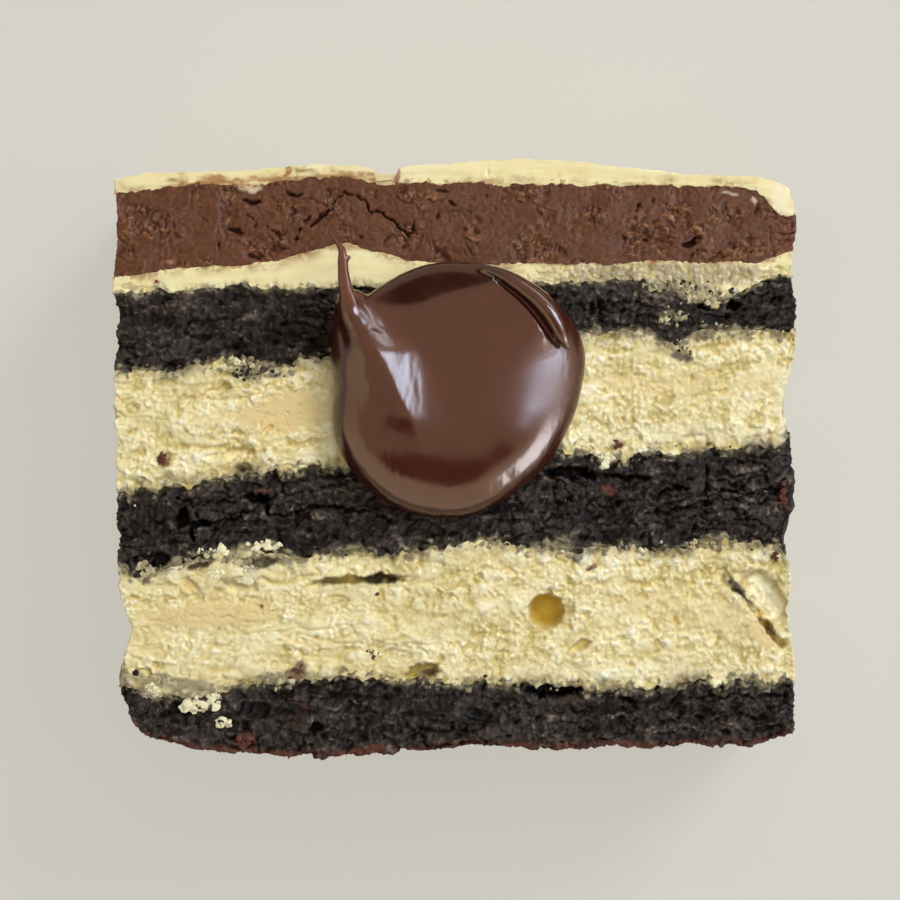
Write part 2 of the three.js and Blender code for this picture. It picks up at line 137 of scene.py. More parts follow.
# Cracks in the shown face of each layer: half width, depth and the points that it goes through
CRACKS = {
    "chocolate_cake_base": [
        (0.16, 0.7, [(22.2, -25.4), (26.0, -24.6), (29.8, -24.8), (34.4, -24.3)]),
        (0.10, 0.4, [(-14.4, -24.9), (-8.0, -24.6), (-2.0, -24.6), (0.5, -24.4), (6.5, -25.0)]),
        (0.14, 0.6, [(22.5, -24.8), (23.4, -26.2), (23.0, -27.2)]),
        (0.14, 0.5, [(27.0, -27.2), (29.0, -26.4), (31.5, -27.0)]),
    ],
    "vanilla_cake_lower": [
        (0.16, 1.2, [(27.9, -11.8), (28.4, -12.6), (28.5, -13.4), (29.4, -14.2), (30.2, -14.8)]),
        (0.26, 1.6, [
            (30.2, -14.8), (31.0, -16.1), (31.9, -16.7), (32.4, -17.9), (33.3, -18.9), (33.8, -19.7),
        ]),
        (0.07, 0.25, [(-33.0, -14.9), (-27.0, -14.6), (-21.0, -15.1), (-15.0, -15.3)]),
        (0.07, 0.25, [(-32.0, -16.9), (-26.0, -16.3), (-19.0, -16.2)]),
        (0.16, 0.5, [(-1.0, -12.0), (4.0, -11.4), (7.0, -12.0)]),
    ],
    "chocolate_cake_middle": [
        (0.17, 0.9, [
            (-19.0, -6.1), (-17.9, -6.0), (-16.2, -5.5), (-14.4, -5.0), (-10.8, -5.2), (-6.4, -6.4),
        ]),
        (0.14, 0.7, [(-28.9, -4.0), (-26.9, -5.0), (-25.3, -4.8), (-22.7, -4.5), (-21.6, -4.3)]),
        (0.14, 0.7, [(-25.6, -6.9), (-23.1, -6.3), (-21.5, -5.7)]),
        (0.20, 1.0, [
            (-28.6, -11.0), (-26.3, -10.4), (-24.5, -10.1), (-22.7, -10.4), (-20.9, -9.9), (-18.4, -10.4),
        ]),
        (0.16, 0.9, [(26.2, -0.7), (26.3, -2.1), (26.0, -4.7)]),
        (0.15, 0.8, [(27.1, -3.4), (30.0, -3.6), (33.7, -3.4)]),
        (0.13, 0.6, [(26.8, -2.3), (29.8, -2.8)]),
        (0.15, 0.7, [(19.5, -5.6), (22.5, -5.4), (25.9, -4.7)]),
        (0.13, 0.6, [(13.0, -4.6), (16.0, -4.9), (19.0, -4.4)]),
        (0.18, 0.8, [(22.6, -9.8), (26.3, -9.2), (28.2, -8.9)]),
        (0.12, 0.5, [(14.5, -6.8), (18.0, -6.9), (23.0, -6.6), (27.5, -7.0)]),
    ],
    "vanilla_cake_upper": [
        (0.26, 0.7, [(-28.4, 6.0), (-26.0, 6.4), (-24.3, 6.9), (-23.4, 7.4)]),
        (0.10, 0.25, [(-20.2, 3.3), (-19.8, 4.4), (-17.1, 4.7), (-15.9, 5.5), (-13.5, 5.9)]),
        (0.24, 0.8, [(-17.3, 1.6), (-16.2, 1.1), (-13.5, 1.9)]),
        (0.09, 0.25, [(-30.8, 0.9), (-28.5, 2.3), (-25.5, 3.2)]),
    ],
    "chocolate_cake_upper": [
        (0.14, 0.6, [(-24.4, 10.3), (-22.5, 9.4), (-20.6, 9.2)]),
        (0.12, 0.5, [(-33.5, 9.6), (-30.0, 9.4), (-27.0, 9.9)]),
        (0.14, 0.6, [(14.6, 17.0), (15.0, 15.5), (14.8, 14.0)]),
        (0.12, 0.5, [(15.0, 15.9), (19.0, 16.2)]),
    ],
    "fudge_layer": [
        (0.1, 0.9, [(-16.5, 22.6), (-16.0, 23.7), (-14.4, 24.2), (-12.6, 25.8), (-11.4, 27.5)]),
        (0.11, 0.9, [(-11.4, 27.5), (-9.9, 26.8), (-8.4, 25.6), (-7.1, 24.9), (-6.0, 23.9), (-5.0, 23.1)]),
        (0.09, 0.7, [(-5.0, 23.1), (-4.1, 23.9), (-4.4, 24.6)]),
        (0.12, 0.6, [(-19.4, 24.0), (-18.6, 23.2), (-18.0, 22.4)]),
        (0.12, 0.6, [(-21.6, 25.0), (-20.6, 24.4), (-20.9, 23.6)]),
        (0.10, 0.5, [(-6.6, 22.8), (-7.3, 22.2), (-7.0, 21.6)]),
        (0.09, 0.4, [(-13.2, 25.9), (-14.6, 26.6), (-17.0, 26.7)]),
        (0.08, 0.4, [(23.8, 20.6), (24.8, 21.3), (26.2, 21.0)]),
        (0.08, 0.4, [(26.6, 20.6), (27.2, 21.2), (28.4, 20.8)]),
        (0.08, 0.4, [(28.8, 20.7), (29.6, 21.3), (30.6, 20.9)]),
        (0.07, 0.3, [(32.4, 23.8), (32.5, 22.2)]),
    ],
    "cream_topping": [(0.12, 0.5, [(-5.9, 30.2), (-6.0, 28.9)]), (0.06, 0.2, [(3.4, 30.4), (3.3, 29.0)])],
}

# Stains and smears on the shown face of each layer, by kind: x, y, half length, half width, turn, strength.
# tan is a smear, milk pale crumb or cream and rust red-brown crumb. The dark stain is dark crumb, and
# painted shade where it lies in the slit and in holes.
STAINS = {
    "chocolate_cake_base": {
        "tan": [
            (-17.0, -27.5, 2.2, 1.2, 0, 0.5), (12.0, -25.0, 3.5, 0.35, 0, 0.8),
            (5.0, -28.5, 4.0, 0.8, 0, 0.4),
        ],
        "milk": [(-31.6, -24.4, 1.6, 0.7, -20, 0.7), (-26.5, -25.2, 2.0, 0.8, -20, 0.6)],
        "rust": [
            (-21.7, -29.4, 1.3, 1.0, 0, 1.0), (-28.9, -29.6, 0.7, 0.5, 0, 0.9),
            (-15.6, -25.3, 0.3, 0.8, 0, 0.6),
        ],
    },
    "vanilla_cake_lower": {
        "tan": [
            (-25.0, -16.2, 9.0, 1.4, 3, 0.9), (-32.0, -19.0, 2.5, 2.0, 0, 0.4),
            (31.4, -18.1, 1.9, 0.9, -42, 0.9), (24.0, -15.5, 7.0, 2.6, 0, 0.35),
            (-27.5, -13.0, 0.9, 0.5, -25, 0.9),
        ],
        "milk": [
            (32.2, -14.2, 1.7, 2.8, 40, 0.75), (18.0, -22.0, 12.0, 1.2, 0, 0.35),
            (-4.0, -20.0, 5.0, 1.6, 15, 0.3),
        ],
        # Most of these dark stains lie in the slit, the cracks and the holes, where they are painted shade;
        # those near the lower line are dark crumb.
        "soot": [
            (29.4, -13.8, 2.6, 0.45, -50, 0.97), (-8.0, -12.5, 3.4, 0.5, 2, 1.0),
            (-12.5, -12.8, 2.6, 0.5, 3, 0.5), (-2.8, -22.3, 1.3, 0.5, 10, 0.9),
            (28.3, -12.9, 0.8, 0.35, -60, 0.6), (-20.2, -10.9, 2.6, 0.8, 3, 0.9),
            (-26.3, -11.0, 2.2, 0.5, 14, 0.85), (-31.6, -11.6, 2.4, 0.9, 8, 0.7),
            (-22.4, -12.9, 2.2, 0.6, 0, 0.35), (-29.0, -23.2, 6.0, 0.9, -6, 0.6),
            (-18.0, -22.7, 5.0, 0.7, 4, 0.55), (-34.4, -23.0, 0.9, 2.0, 0, 0.7),
            (-20.2, -15.2, 0.22, 0.2, 0, 1.0), (-18.6, -15.7, 0.15, 0.13, 0, 1.0),
            (-17.0, -15.4, 0.12, 0.1, 0, 0.9),
        ],
        "rust": [
            (32.2, -17.2, 1.8, 0.45, -55, 0.95), (-16.2, -22.0, 1.3, 0.9, 20, 0.8),
            (14.0, -11.3, 0.7, 0.4, 15, 0.9),
        ],
    },
    "chocolate_cake_middle": {
        "tan": [
            (25.0, -3.1, 0.9, 1.4, 0, 0.6), (-25.0, -5.9, 1.6, 0.6, -10, 0.5),
            (-24.6, -2.8, 2.6, 0.7, 20, 0.5),
        ],
        "milk": [
            (-29.2, -10.8, 1.6, 0.35, 24, 0.7), (-25.4, -9.8, 2.0, 0.3, 4, 0.75),
            (-20.6, -9.2, 2.6, 0.5, 8, 0.8), (25.6, -8.7, 3.1, 0.42, 8, 0.6),
            (10.8, -9.2, 1.8, 1.2, 30, 0.5), (24.6, -7.0, 0.16, 0.16, 0, 1.0),
        ],
        "rust": [
            (-20.2, -3.5, 1.3, 0.22, 10, 0.9), (15.9, -3.3, 1.0, 0.45, -5, 0.9),
            (33.6, -4.4, 0.9, 1.2, 0, 0.7),
        ],
    },
    "vanilla_cake_upper": {
        "tan": [
            (-17.6, 4.6, 5.8, 2.4, 6, 0.95), (-25.0, 4.0, 3.0, 1.0, 12, 0.4),
            (22.0, 7.6, 8.0, 1.6, 0, 0.45), (31.0, 7.6, 2.6, 1.4, 0, 0.4),
        ],
        "milk": [
            (24.0, 2.6, 12.0, 1.1, 0, 0.45), (-27.5, -0.8, 1.6, 0.9, 0, 0.5),
            (-14.0, 0.4, 2.2, 0.8, 15, 0.5), (34.0, 5.0, 0.9, 5.0, 0, 0.7),
        ],
        # The dark stain on the hole left of the middle is painted shade; the rest are dark crumb.
        "soot": [
            (-29.4, -1.9, 1.0, 0.5, -30, 0.5), (-21.9, -1.2, 0.9, 0.45, 20, 1.0),
            (-21.7, 8.9, 1.2, 0.8, -30, 0.9), (-18.5, 8.6, 1.0, 0.4, 10, 0.9),
            (-24.2, 9.0, 0.5, 0.4, 0, 0.8), (22.8, 12.1, 0.9, 0.5, 0, 0.85),
            (23.4, 10.6, 1.3, 0.6, -20, 0.9), (25.9, 12.5, 1.1, 0.45, 0, 0.8),
            (30.1, 12.5, 0.6, 0.4, 0, 0.5), (33.0, 12.6, 0.5, 0.5, 0, 0.6),
        ],
        "rust": [(-30.1, -0.3, 0.9, 0.9, 60, 0.9), (16.8, 1.3, 0.8, 0.6, 20, 0.7)],
    },
    "chocolate_cake_upper": {
        "milk": [
            (21.4, 18.0, 1.2, 0.9, -20, 0.75), (24.0, 16.8, 1.3, 0.7, -30, 0.75),
            (27.2, 16.4, 1.6, 0.5, 10, 0.7), (22.4, 14.9, 1.6, 0.5, 0, 0.4),
            (-23.5, 9.6, 1.4, 0.6, 20, 0.7), (-19.6, 9.8, 1.2, 0.4, -10, 0.6),
        ],
    },
    "fudge_layer": {
        "tan": [
            (18.6, 24.0, 1.6, 2.0, 0, 0.8), (22.5, 25.4, 0.6, 1.3, 0, 0.7), (27.5, 20.9, 4.5, 0.6, 2, 0.9),
            (-17.5, 25.6, 3.4, 1.2, -15, 0.6), (-27.5, 20.1, 3.4, 0.45, -6, 1.0),
            (-20.0, 22.0, 3.5, 1.3, 0, 0.5), (-5.0, 22.6, 2.0, 1.6, 0, 0.5), (6.0, 22.2, 3.0, 0.8, 0, 0.5),
            (-4.5, 26.2, 2.0, 1.0, -30, 0.4), (12.0, 25.0, 3.0, 1.6, 0, 0.3),
            (-33.8, 22.6, 0.8, 2.6, 0, 0.5),
        ],
        "milk": [
            (28.4, 27.3, 1.0, 0.2, 0, 0.7), (30.9, 26.5, 0.4, 0.5, 0, 0.9),
            (-21.1, 27.8, 1.3, 0.5, 0, 0.95),
        ],
        "rust": [(33.9, 22.4, 1.0, 1.6, 0, 0.5)],
    },
    "cream_filling": {
        "tan": [(-11.5, 21.7, 5.0, 0.4, 0, 0.6)],
        "soot": [
            (-33.0, 17.7, 1.6, 0.4, 0, 0.5), (21.5, 18.9, 15.0, 1.5, 0, 0.7),
            (23.6, 17.2, 4.6, 1.5, 0, 0.8),
        ],
        "rust": [(-30.7, 18.2, 0.5, 0.25, 0, 1.0), (22.2, 18.2, 0.7, 0.4, 20, 0.6)],
    },
    "cream_topping": {
        "tan": [
            (-19.5, 28.45, 15.5, 0.75, 3, 0.97), (-28.4, 28.8, 1.2, 1.2, -10, 0.95),
            (-24.8, 28.6, 1.8, 0.8, 0, 0.9), (-17.4, 29.6, 0.4, 0.9, 0, 0.95),
            (-15.2, 29.3, 2.0, 0.7, -15, 0.95), (-11.2, 29.3, 0.9, 0.5, 0, 0.8),
            (-8.0, 28.8, 1.6, 0.7, 0, 0.97), (-7.0, 29.0, 1.3, 0.5, 0, 0.97), (4.0, 28.4, 3.5, 0.3, 0, 0.7),
            (-20.3, 28.7, 0.7, 0.6, 0, 0.4), (23.2, 28.0, 0.9, 0.45, 0, 0.8),
            (30.0, 28.6, 1.8, 0.5, 0, 0.5), (10.8, 29.3, 0.5, 0.5, 0, 0.35),
        ],
        "milk": [(33.6, 26.6, 1.1, 2.0, 0, 0.5)],
        "rust": [(-6.1, 28.2, 0.25, 1.0, 0, 0.95), (-5.8, 29.4, 0.14, 0.8, 0, 0.8)],
    },
}

# Loose crumbs in clusters on the face: kind, x, y, spread along X and Y, how many, largest size
CLUSTERS = [
    ("rust", -30.1, -0.3, 0.6, 0.6, 16, 0.42), ("rust", 34.1, -3.9, 0.35, 1.1, 26, 0.5),
    ("rust", -8.4, -20.2, 0.5, 0.5, 12, 0.42), ("rust", 16.8, 1.4, 0.5, 0.4, 10, 0.36),
    ("rust", -16.2, -22.0, 0.7, 0.5, 12, 0.4), ("rust", -21.7, -29.5, 0.7, 0.6, 16, 0.45),
    ("rust", 14.0, -11.3, 0.35, 0.25, 7, 0.3), ("rust", -30.7, 18.2, 0.3, 0.12, 5, 0.22),
    ("rust", 33.2, -10.2, 0.4, 0.4, 8, 0.36), ("rust", -8.2, -14.2, 0.2, 0.15, 3, 0.24),
    ("pale", 15.7, -0.3, 0.45, 0.6, 22, 0.45), ("pale", -31.6, -24.2, 0.8, 0.4, 16, 0.5),
    ("pale", -27.8, -25.6, 0.6, 0.4, 14, 0.5), ("pale", -24.0, -27.2, 0.4, 0.3, 12, 0.45),
    ("pale", 13.4, 3.0, 0.5, 1.2, 20, 0.42), ("pale", -25.4, -24.6, 1.2, 0.6, 16, 0.42),
    ("rust", 22.0, 17.9, 0.4, 0.3, 5, 0.35), ("pale", -22.9, 9.9, 0.9, 0.5, 14, 0.42),
    ("pale", -22.0, -12.2, 2.2, 0.5, 24, 0.5), ("dark", -21.7, 8.8, 0.8, 0.6, 16, 0.45),
    ("dark", -18.5, 8.6, 0.6, 0.3, 8, 0.4), ("dark", 23.3, 10.7, 0.8, 0.4, 18, 0.42),
    ("dark", 22.8, 12.2, 0.6, 0.4, 10, 0.4), ("dark", 26.0, 12.6, 0.7, 0.3, 8, 0.4),
    ("dark", -28.0, -28.4, 3.5, 1.2, 40, 0.6), ("dark", -32.6, -11.4, 1.0, 0.6, 16, 0.5),
    ("dark", 12.5, -4.0, 2.5, 1.5, 30, 0.45), ("dark", 24.0, 14.5, 2.0, 0.8, 20, 0.45),
    ("dark", 30.5, -6.0, 3.0, 1.6, 30, 0.45), ("dark", 23.5, 16.8, 3.0, 1.0, 60, 0.4),
    ("grey", 22.4, 17.0, 2.2, 1.1, 90, 0.5), ("grey", 26.4, 16.6, 1.4, 0.8, 40, 0.45),
    ("grey", 22.8, 14.4, 2.2, 0.6, 30, 0.4), ("grey", -29.0, -23.2, 3.0, 0.7, 70, 0.5),
    ("grey", -34.2, -22.6, 0.6, 1.4, 30, 0.5), ("grey", -17.5, -22.8, 3.0, 0.5, 40, 0.45),
    ("grey", -31.8, -11.8, 1.3, 0.6, 36, 0.5), ("grey", -22.4, -10.8, 3.0, 0.5, 40, 0.5),
    ("grey", -21.6, 9.4, 2.0, 0.6, 40, 0.45), ("grey", 22.6, 11.4, 1.6, 0.7, 30, 0.4),
    ("grey", 26.0, -9.0, 3.0, 0.4, 30, 0.35), ("dark", -32.5, -25.8, 1.4, 1.6, 40, 0.8),
    ("pale", -31.6, -24.4, 1.0, 0.5, 16, 0.8), ("pale", -26.8, -25.5, 1.4, 0.6, 30, 0.7),
    ("pale", -24.1, -27.3, 0.5, 0.35, 12, 0.6), ("rust", -26.4, -25.3, 0.7, 0.3, 8, 0.5),
    ("pale", -24.3, -11.8, 1.1, 0.5, 26, 0.75), ("pale", -21.6, -12.0, 0.8, 0.6, 20, 0.75),
    ("pale", -24.5, -9.7, 1.6, 0.3, 16, 0.5), ("pale", -19.8, -9.0, 1.4, 0.4, 18, 0.55),
    ("dark", -33.5, -22.6, 0.8, 1.2, 24, 0.4),
]
EDGE_CRUMBS = 180  # loose crumbs along the lines between cake layers
EDGE_LINES = [1, 2, 3, 4]  # the numbers of those lines
EDGE_HALF = 34  # how far they go to each side along X
EDGE_SPREAD = 0.5  # how far they stray from the line
EDGE_SIZE = (0.08, 0.2)  # sizes of the smallest and the largest
CRUMB_SEED = 7
FLAT = 0.5  # height of a loose crumb, as a share of its width
SUNK = 0.15  # how far its middle lies below the face, as a share of its width

# Each kind of loose crumb: the look and the slot that it shares with a layer, and what stains it
CRUMB_LOOKS = {
    "dark": ("dark", "chocolate_cake"), "rust": ("dark", "chocolate_cake"),
    "pale": ("vanilla", "vanilla_cake"), "grey": ("vanilla", "vanilla_cake"),
}
CRUMB_STAINS = {"rust": ("rust", 0.85), "pale": ("milk", 0.6)}
GREY_SOOT = (0.2, 0.9)  # the least and the most soot on a grey crumb

# What each kind of layer picks up along its line with a neighbour: the stain, how far and how strongly it
# fades in, and how far and how strongly single crumbs of it go
MIXES = {
    ("vanilla", "dark"): ("soot", 1.7, 0.75, 1.1, 0.75), ("dark", "vanilla"): ("milk", 0.9, 0.4, 0.9, 0.6),
    ("cream", "dark"): ("soot", 1.0, 0.7, 0.6, 0.7), ("dark", "cream"): ("milk", 0.8, 0.4, 0.7, 0.6),
    ("cream", "fudge"): ("tan", 1.5, 1.0, 0.6, 0.7), ("fudge", "cream"): ("tan", 0.5, 0.4, 0.3, 0.5),
}
STAIN_KEYS = ("tan", "milk", "soot", "rust")

# The spoonful of glossy chocolate. Places on it are from its middle, and heights from the cake under it.
DOLLOP_PLACE = (0.33, 6.79)
DOLLOP_OUTLINE = [  # its radius every 20 degrees, from +X
    12.6, 13.75, 13.65, 13.5, 13.25, 13.3, 13.35, 13.45, 12.95,
    12.75, 13.5, 13.65, 13.6, 13.15, 12.65, 11.9, 11.85, 11.95,
]
DOLLOP_SQUARE = [  # how square-shouldered it is, every 20 degrees from +X: 2 is round
    2.5, 3.0, 25.0, 40.0, 50.0, 60.0, 60.0, 60.0, 14.0,
    9.0, 7.0, 5.5, 3.6, 2.4, 2.4, 2.5, 2.8, 2.6,
]
ANGLE_STEP = 20
DOLLOP_TOP = 5.0  # of its face above its widest part
DOLLOP_EDGE = 1.2  # height of its widest part
DOLLOP_FOOT = 3.0  # how slowly it draws in below that
DOLLOP_SUNK = 0.5  # how far its underside lies in the crumb
DOLLOP_STEP = 0.18  # between the points of its mesh
DOLLOP_BAND = 1.2  # how far from the surface the field is worked out finely
DOLLOP_BOX = ((-15.0, -15.0, -1.2), (15.0, 17.5, 9.4))  # the corners of the space that it lies in

# The crest, as (y, x, width of the scoop beside it): the scoop is a slope that goes up to the crest from its
# right, and the flank falls away to its left
CREST = [
    (-10.5, -3.0, 0.0), (-8.5, -3.3, 0.2), (-6.5, -3.7, 0.45), (-4.5, -4.3, 0.85), (-2.6, -5.0, 1.5),
    (-0.5, -6.1, 2.3), (1.2, -6.85, 2.9), (3.0, -7.7, 3.3), (4.3, -8.4, 3.2), (5.5, -9.0, 1.8),
    (6.6, -9.7, 0.5), (8.0, -10.3, 0.0), (9.8, -10.9, 0.0),
]
SCOOP_SLOPE = 0.42
SCOOP_SOFT = 0.7  # how gently the scoop runs out into the face
SCOOP_FULL = 1.6  # width at which it has its full slope
CREST_ROUND = 0.2
FLANK_WIDTH = 5.5
CREST_LEAN = 0.86  # how much shorter the way to the crest is than along X

# The dark hollow on the topping's side, as points along the line where it starts, and its slope
HOLLOW = [
    (-11.0, 9.6), (-9.1, 8.9), (-7.5, 8.4), (-5.7, 8.25), (-3.8, 8.5), (-2.0, 9.2), (0.2, 9.8),
    (2.3, 10.3), (4.3, 10.8), (7.0, 11.8), (12.0, 13.5),
]
HOLLOW_SLOPE = 0.31
HOLLOW_SOFT = 0.3

# Round lines on it, as (x, y, height, radius)
TAIL = [
    (-8.5, 4.1, 5.9, 0.7), (-9.5, 5.9, 6.2, 0.85), (-10.4, 7.6, 6.3, 0.9), (-11.0, 9.0, 6.3, 0.8),
    (-11.4, 10.5, 6.3, 0.66), (-11.6, 11.9, 6.1, 0.54), (-11.7, 13.2, 5.8, 0.47), (-11.8, 14.3, 5.4, 0.34),
    (-12.4, 15.25, 4.8, 0.2), (-13.1, 16.3, 4.0, 0.13),
]
FLANK = [(-10.9, 8.4, 4.4, 0.9), (-10.9, 6.4, 3.4, 1.4), (-10.7, 3.6, 3.0, 1.8)]
FOLD = [
    (1.4, 12.6, 6.4, 0.2), (3.0, 12.3, 6.7, 0.35), (5.0, 11.4, 6.8, 0.55), (7.7, 9.5, 6.7, 0.75),
    (9.4, 7.7, 6.5, 0.8), (10.4, 5.8, 6.0, 0.7), (11.0, 4.6, 5.4, 0.4),
]
GROOVE = [
    (3.7, 11.4, 6.3, 0.1), (5.0, 10.4, 6.2, 0.2), (6.7, 9.0, 6.15, 0.28), (8.1, 7.4, 6.1, 0.34),
    (9.3, 5.7, 5.85, 0.36), (10.1, 4.5, 5.2, 0.16),
]
GROOVE_UPRIGHT = np.array([1, 1, 0.45, 1])  # narrows it, as it is deeper than it is wide
PINCH = [(-9.8, 9.0, 7.0, 0.3), (-9.2, 8.2, 7.2, 0.2)]
NUB = [(-11.7, 13.1, 5.8, 0.3), (-11.0, 13.55, 5.7, 0.14)]
SPUR = [(-11.6, 7.2, 2.9, 0.8), (-13.2, 7.6, 2.3, 0.12)]
BLENDS = {"flank": 2.2, "fold": 0.4, "groove": 0.06, "pinch": 0.3, "nub": 0.3, "spur": 0.5}  # fillets
TAIL_BLEND = (0.4, 1.4)  # the tail's fillet at its tip, and what it gains towards its root
TAIL_SIDE = -9.6  # X that divides the tail from the face

# What the spoon left on it
STREAK = (0.45, 1.7, 1.0)  # size of the faint streaks on its crest and rim
STREAK_HIGH = 0.014
BRUSHED = (9.4, 1.0, 8.0)  # the middle and the reach of the dulled place at its right rim
BRUSHED_SHARE = 1.9
GLOSS_ROUGH = 0.15
DULL_ROUGH = 0.24  # where the spoon has dulled the gloss

# The picture and the floor
VIEW_SPAN = 92.9  # width of the picture at the shown face
VIEW_CENTRE = (-0.5, 0.8)
CAMERA_ABOVE = 300.0  # from the shown face
SENSOR = 36.0
FLOOR_COLOUR = (115, 114, 110)
FLOOR_GLOW = (186, 183, 174)
FLOOR_HALF = 1500.0

# The room that the gloss reflects: a warm ceiling, a brighter band near the horizon, and a dark patch on the
# near side. The patch is an oval of directions, with half sizes in degrees.
ROOM_LIGHT = 1.3
ROOM_COLOUR = (1.0, 0.72, 0.46, 1)
BAND_LIGHT = 1.2
BAND_TOP = (0.72, 0.6)  # heights between which the band comes in
BAND_SIDE = (0.1, -0.5)  # places along Y between which it gets to its full strength
BAND_BEHIND = 0.25  # its strength on the far side
DARK_SHARE = 0.06  # how much light is left in the dark patch
DARK_TILT = 36.5
DARK_HALF = (23.0, 11.5)
DARK_EDGE = (0.7, 1.3)  # where the patch starts to fade and where it ends, as shares of its squared size

# Area lights: place in metres, width, height, radiance, colour, and whether they light matt things or show
# in gloss
LIGHTS = {
    "ceiling": ((0.08, 0.08, 0.95), 0.9, 0.9, 2.25, (1.0, 1.0, 0.985), "matt"),
    "key": ((0.50, 0.52, 0.75), 0.3, 0.3, 21.0, (1.0, 0.99, 0.97), "matt"),
    "window": ((0.721, 0.121, 0.682), 0.48, 0.6, 17.0, (0.76, 0.9, 1.12), "gloss"),
    "side_window": ((0.74, -0.57, 0.35), 0.58, 0.44, 12.0, (1.0, 0.98, 1.02), "gloss"),
    "far_window": ((0.69, 0.66, 0.30), 0.5, 0.25, 7.0, (0.86, 0.96, 1.08), "gloss"),
}
LIGHT_AIM = (0, 0, 0.03)  # the place that they all look at


# Noise

def hashed(i, j, k, seed):
    """A random number from 0 to 1 for each whole-number cell."""
    bits = [np.asarray(n).astype(np.int64).astype(np.uint64) for n in (i, j, k)]
    h = bits[0] * np.uint64(374761393) + bits[1] * np.uint64(668265263) + bits[2] * np.uint64(1274126177)
    h = (h + np.uint64(seed * 974634777)) & np.uint64(0xFFFFFFFF)
    h = ((h ^ (h >> np.uint64(15))) * np.uint64(2246822519)) & np.uint64(0xFFFFFFFF)
    h = ((h ^ (h >> np.uint64(13))) * np.uint64(3266489917)) & np.uint64(0xFFFFFFFF)
    h = h ^ (h >> np.uint64(16))
    return h.astype(float) / 0xFFFFFFFF


def noise(p, seed):
    """Smooth noise from -1 to 1, with cells of 1."""
    cell = np.floor(p)
    f = p - cell
    f = f * f * f * (f * (f * 6 - 15) + 10)
    total = np.zeros(len(p))
    for corner in np.ndindex(2, 2, 2):
        weight = np.prod(np.where(corner, f, 1 - f), axis=1)
        total += weight * hashed(*(cell + corner).T, seed)
    return 2 * total - 1


def cloud(p, seed, octaves=3):
    """Noise with finer and fainter noise added to it."""
    return sum(noise(p * 2.0 ** n, seed + n) * 0.5 ** n for n in range(octaves))


def lumps(p, seed):
    """Lumps about 1 apart: distances to the nearest middle and the next, the nearest's level and tilt."""
    base = np.floor(p)
    near = np.full(len(p), 9.0)
    second = near.copy()
    home = np.zeros_like(p)
    away = np.zeros_like(p)
    for offset in np.ndindex(3, 3, 3):
        cell = base + offset - 1
        gap = p - cell - np.stack([hashed(*cell.T, seed + n) for n in range(3)], 1)
        distance = (gap * gap).sum(1)
        closer = distance < near
        second = np.where(closer, near, np.minimum(second, distance))
        near = np.where(closer, distance, near)
        home[closer] = cell[closer]
        away[closer] = gap[closer]
    lean = np.stack([hashed(*home.T, seed + 4 + n) for n in range(3)], 1) - 0.5
    return np.sqrt(near), np.sqrt(second), hashed(*home.T, seed + 3), (away * lean).sum(1)


def smoothstep(low, high, value):
    """0 up to low, 1 from high on and a smooth change between them."""
    t = np.clip((value - low) / (high - low), 0, 1)
    return t * t * (3 - 2 * t)


def warped(p, size, reach, seed):
    """Points strayed by noise, so that what is drawn with them has uneven edges."""
    stray = np.stack([noise(p / size, seed + n) for n in range(3)], 1)
    return p + reach * stray


# Shapes on the shown face

def oval(p, x, y, half_x, half_y, turn):
    """How far points lie from the middle of an oval, as a share of its size."""
    c, s = math.cos(math.radians(turn)), math.sin(math.radians(turn))
    dx, dy = p[:, 0] - x, p[:, 1] - y
    return np.hypot((c * dx + s * dy) / half_x, (c * dy - s * dx) / half_y)


def near_face(z, fade):
    """How much of something on the shown face is left at heights, from 0 to 1."""
    return smoothstep(FACE_Z - fade[0], FACE_Z - fade[1], z)


def from_path(p, path):
    """How far points lie from a line through places on the face."""
    best = np.full(len(p), FAR)
    for start, end in zip(path, path[1:]):
        start, along = np.array(start), np.array(end) - np.array(start)
        share = np.clip((p[:, :2] - start) @ along / (along @ along), 0, 1)
        best = np.minimum(best, np.linalg.norm(p[:, :2] - start - share[:, None] * along, axis=1))
    return best


# Measuring the solids

def tree_of(node):
    """A node's solid for casting rays at, in millimetres."""
    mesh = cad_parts[node].data
    points = [v.co / MM for v in mesh.vertices]
    return BVHTree.FromPolygons(points, [tuple(p.vertices) for p in mesh.polygons])


def first_hits(tree, starts, way):
    """Where rays from the starts first meet a solid, along the axis of the way, or nan where they miss."""
    axis = int(np.argmax(np.abs(way)))
    hits = [tree.ray_cast(Vector(start), Vector(way))[0] for start in starts]
    return np.array([np.nan if hit is None else hit[axis] for hit in hits])


def filled(table):
    """The table with its misses filled from their neighbours along the first axis."""
    places = np.arange(len(table))
    for column in table.T:
        known = ~np.isnan(column)
        column[:] = np.interp(places, places[known], column[known])
    return table


def softened(table, times=2):
    """The table averaged along its first axis, which takes the facets' corners away."""
    for _ in range(times):
        padded = np.concatenate([table[:1], table, table[-1:]])
        table = 0.25 * padded[:-2] + 0.5 * padded[1:-1] + 0.25 * padded[2:]
    return table


def lookup(table, a_at, b_at, a, b):
    """The table's value at any places, straight between its own places."""
    i = np.interp(a, a_at, np.arange(len(a_at)))
    j = np.interp(b, b_at, np.arange(len(b_at)))
    i0 = np.minimum(i.astype(int), len(a_at) - 2)
    j0 = np.minimum(j.astype(int), len(b_at) - 2)
    s, t = i - i0, j - j0
    low = table[i0, j0] * (1 - t) + table[i0, j0 + 1] * t
    high = table[i0 + 1, j0] * (1 - t) + table[i0 + 1, j0 + 1] * t
    return low * (1 - s) + high * s


def sides_of(tree):
    """A layer's lower and upper sides as tables of Y over X and Z."""
    places = [(x, z) for x in X_AT for z in Z_AT]
    shape = (len(X_AT), len(Z_AT))
    low = first_hits(tree, [(x, -FAR, z) for x, z in places], (0, 1, 0)).reshape(shape)
    high = first_hits(tree, [(x, FAR, z) for x, z in places], (0, -1, 0)).reshape(shape)
    return filled(low), filled(high)


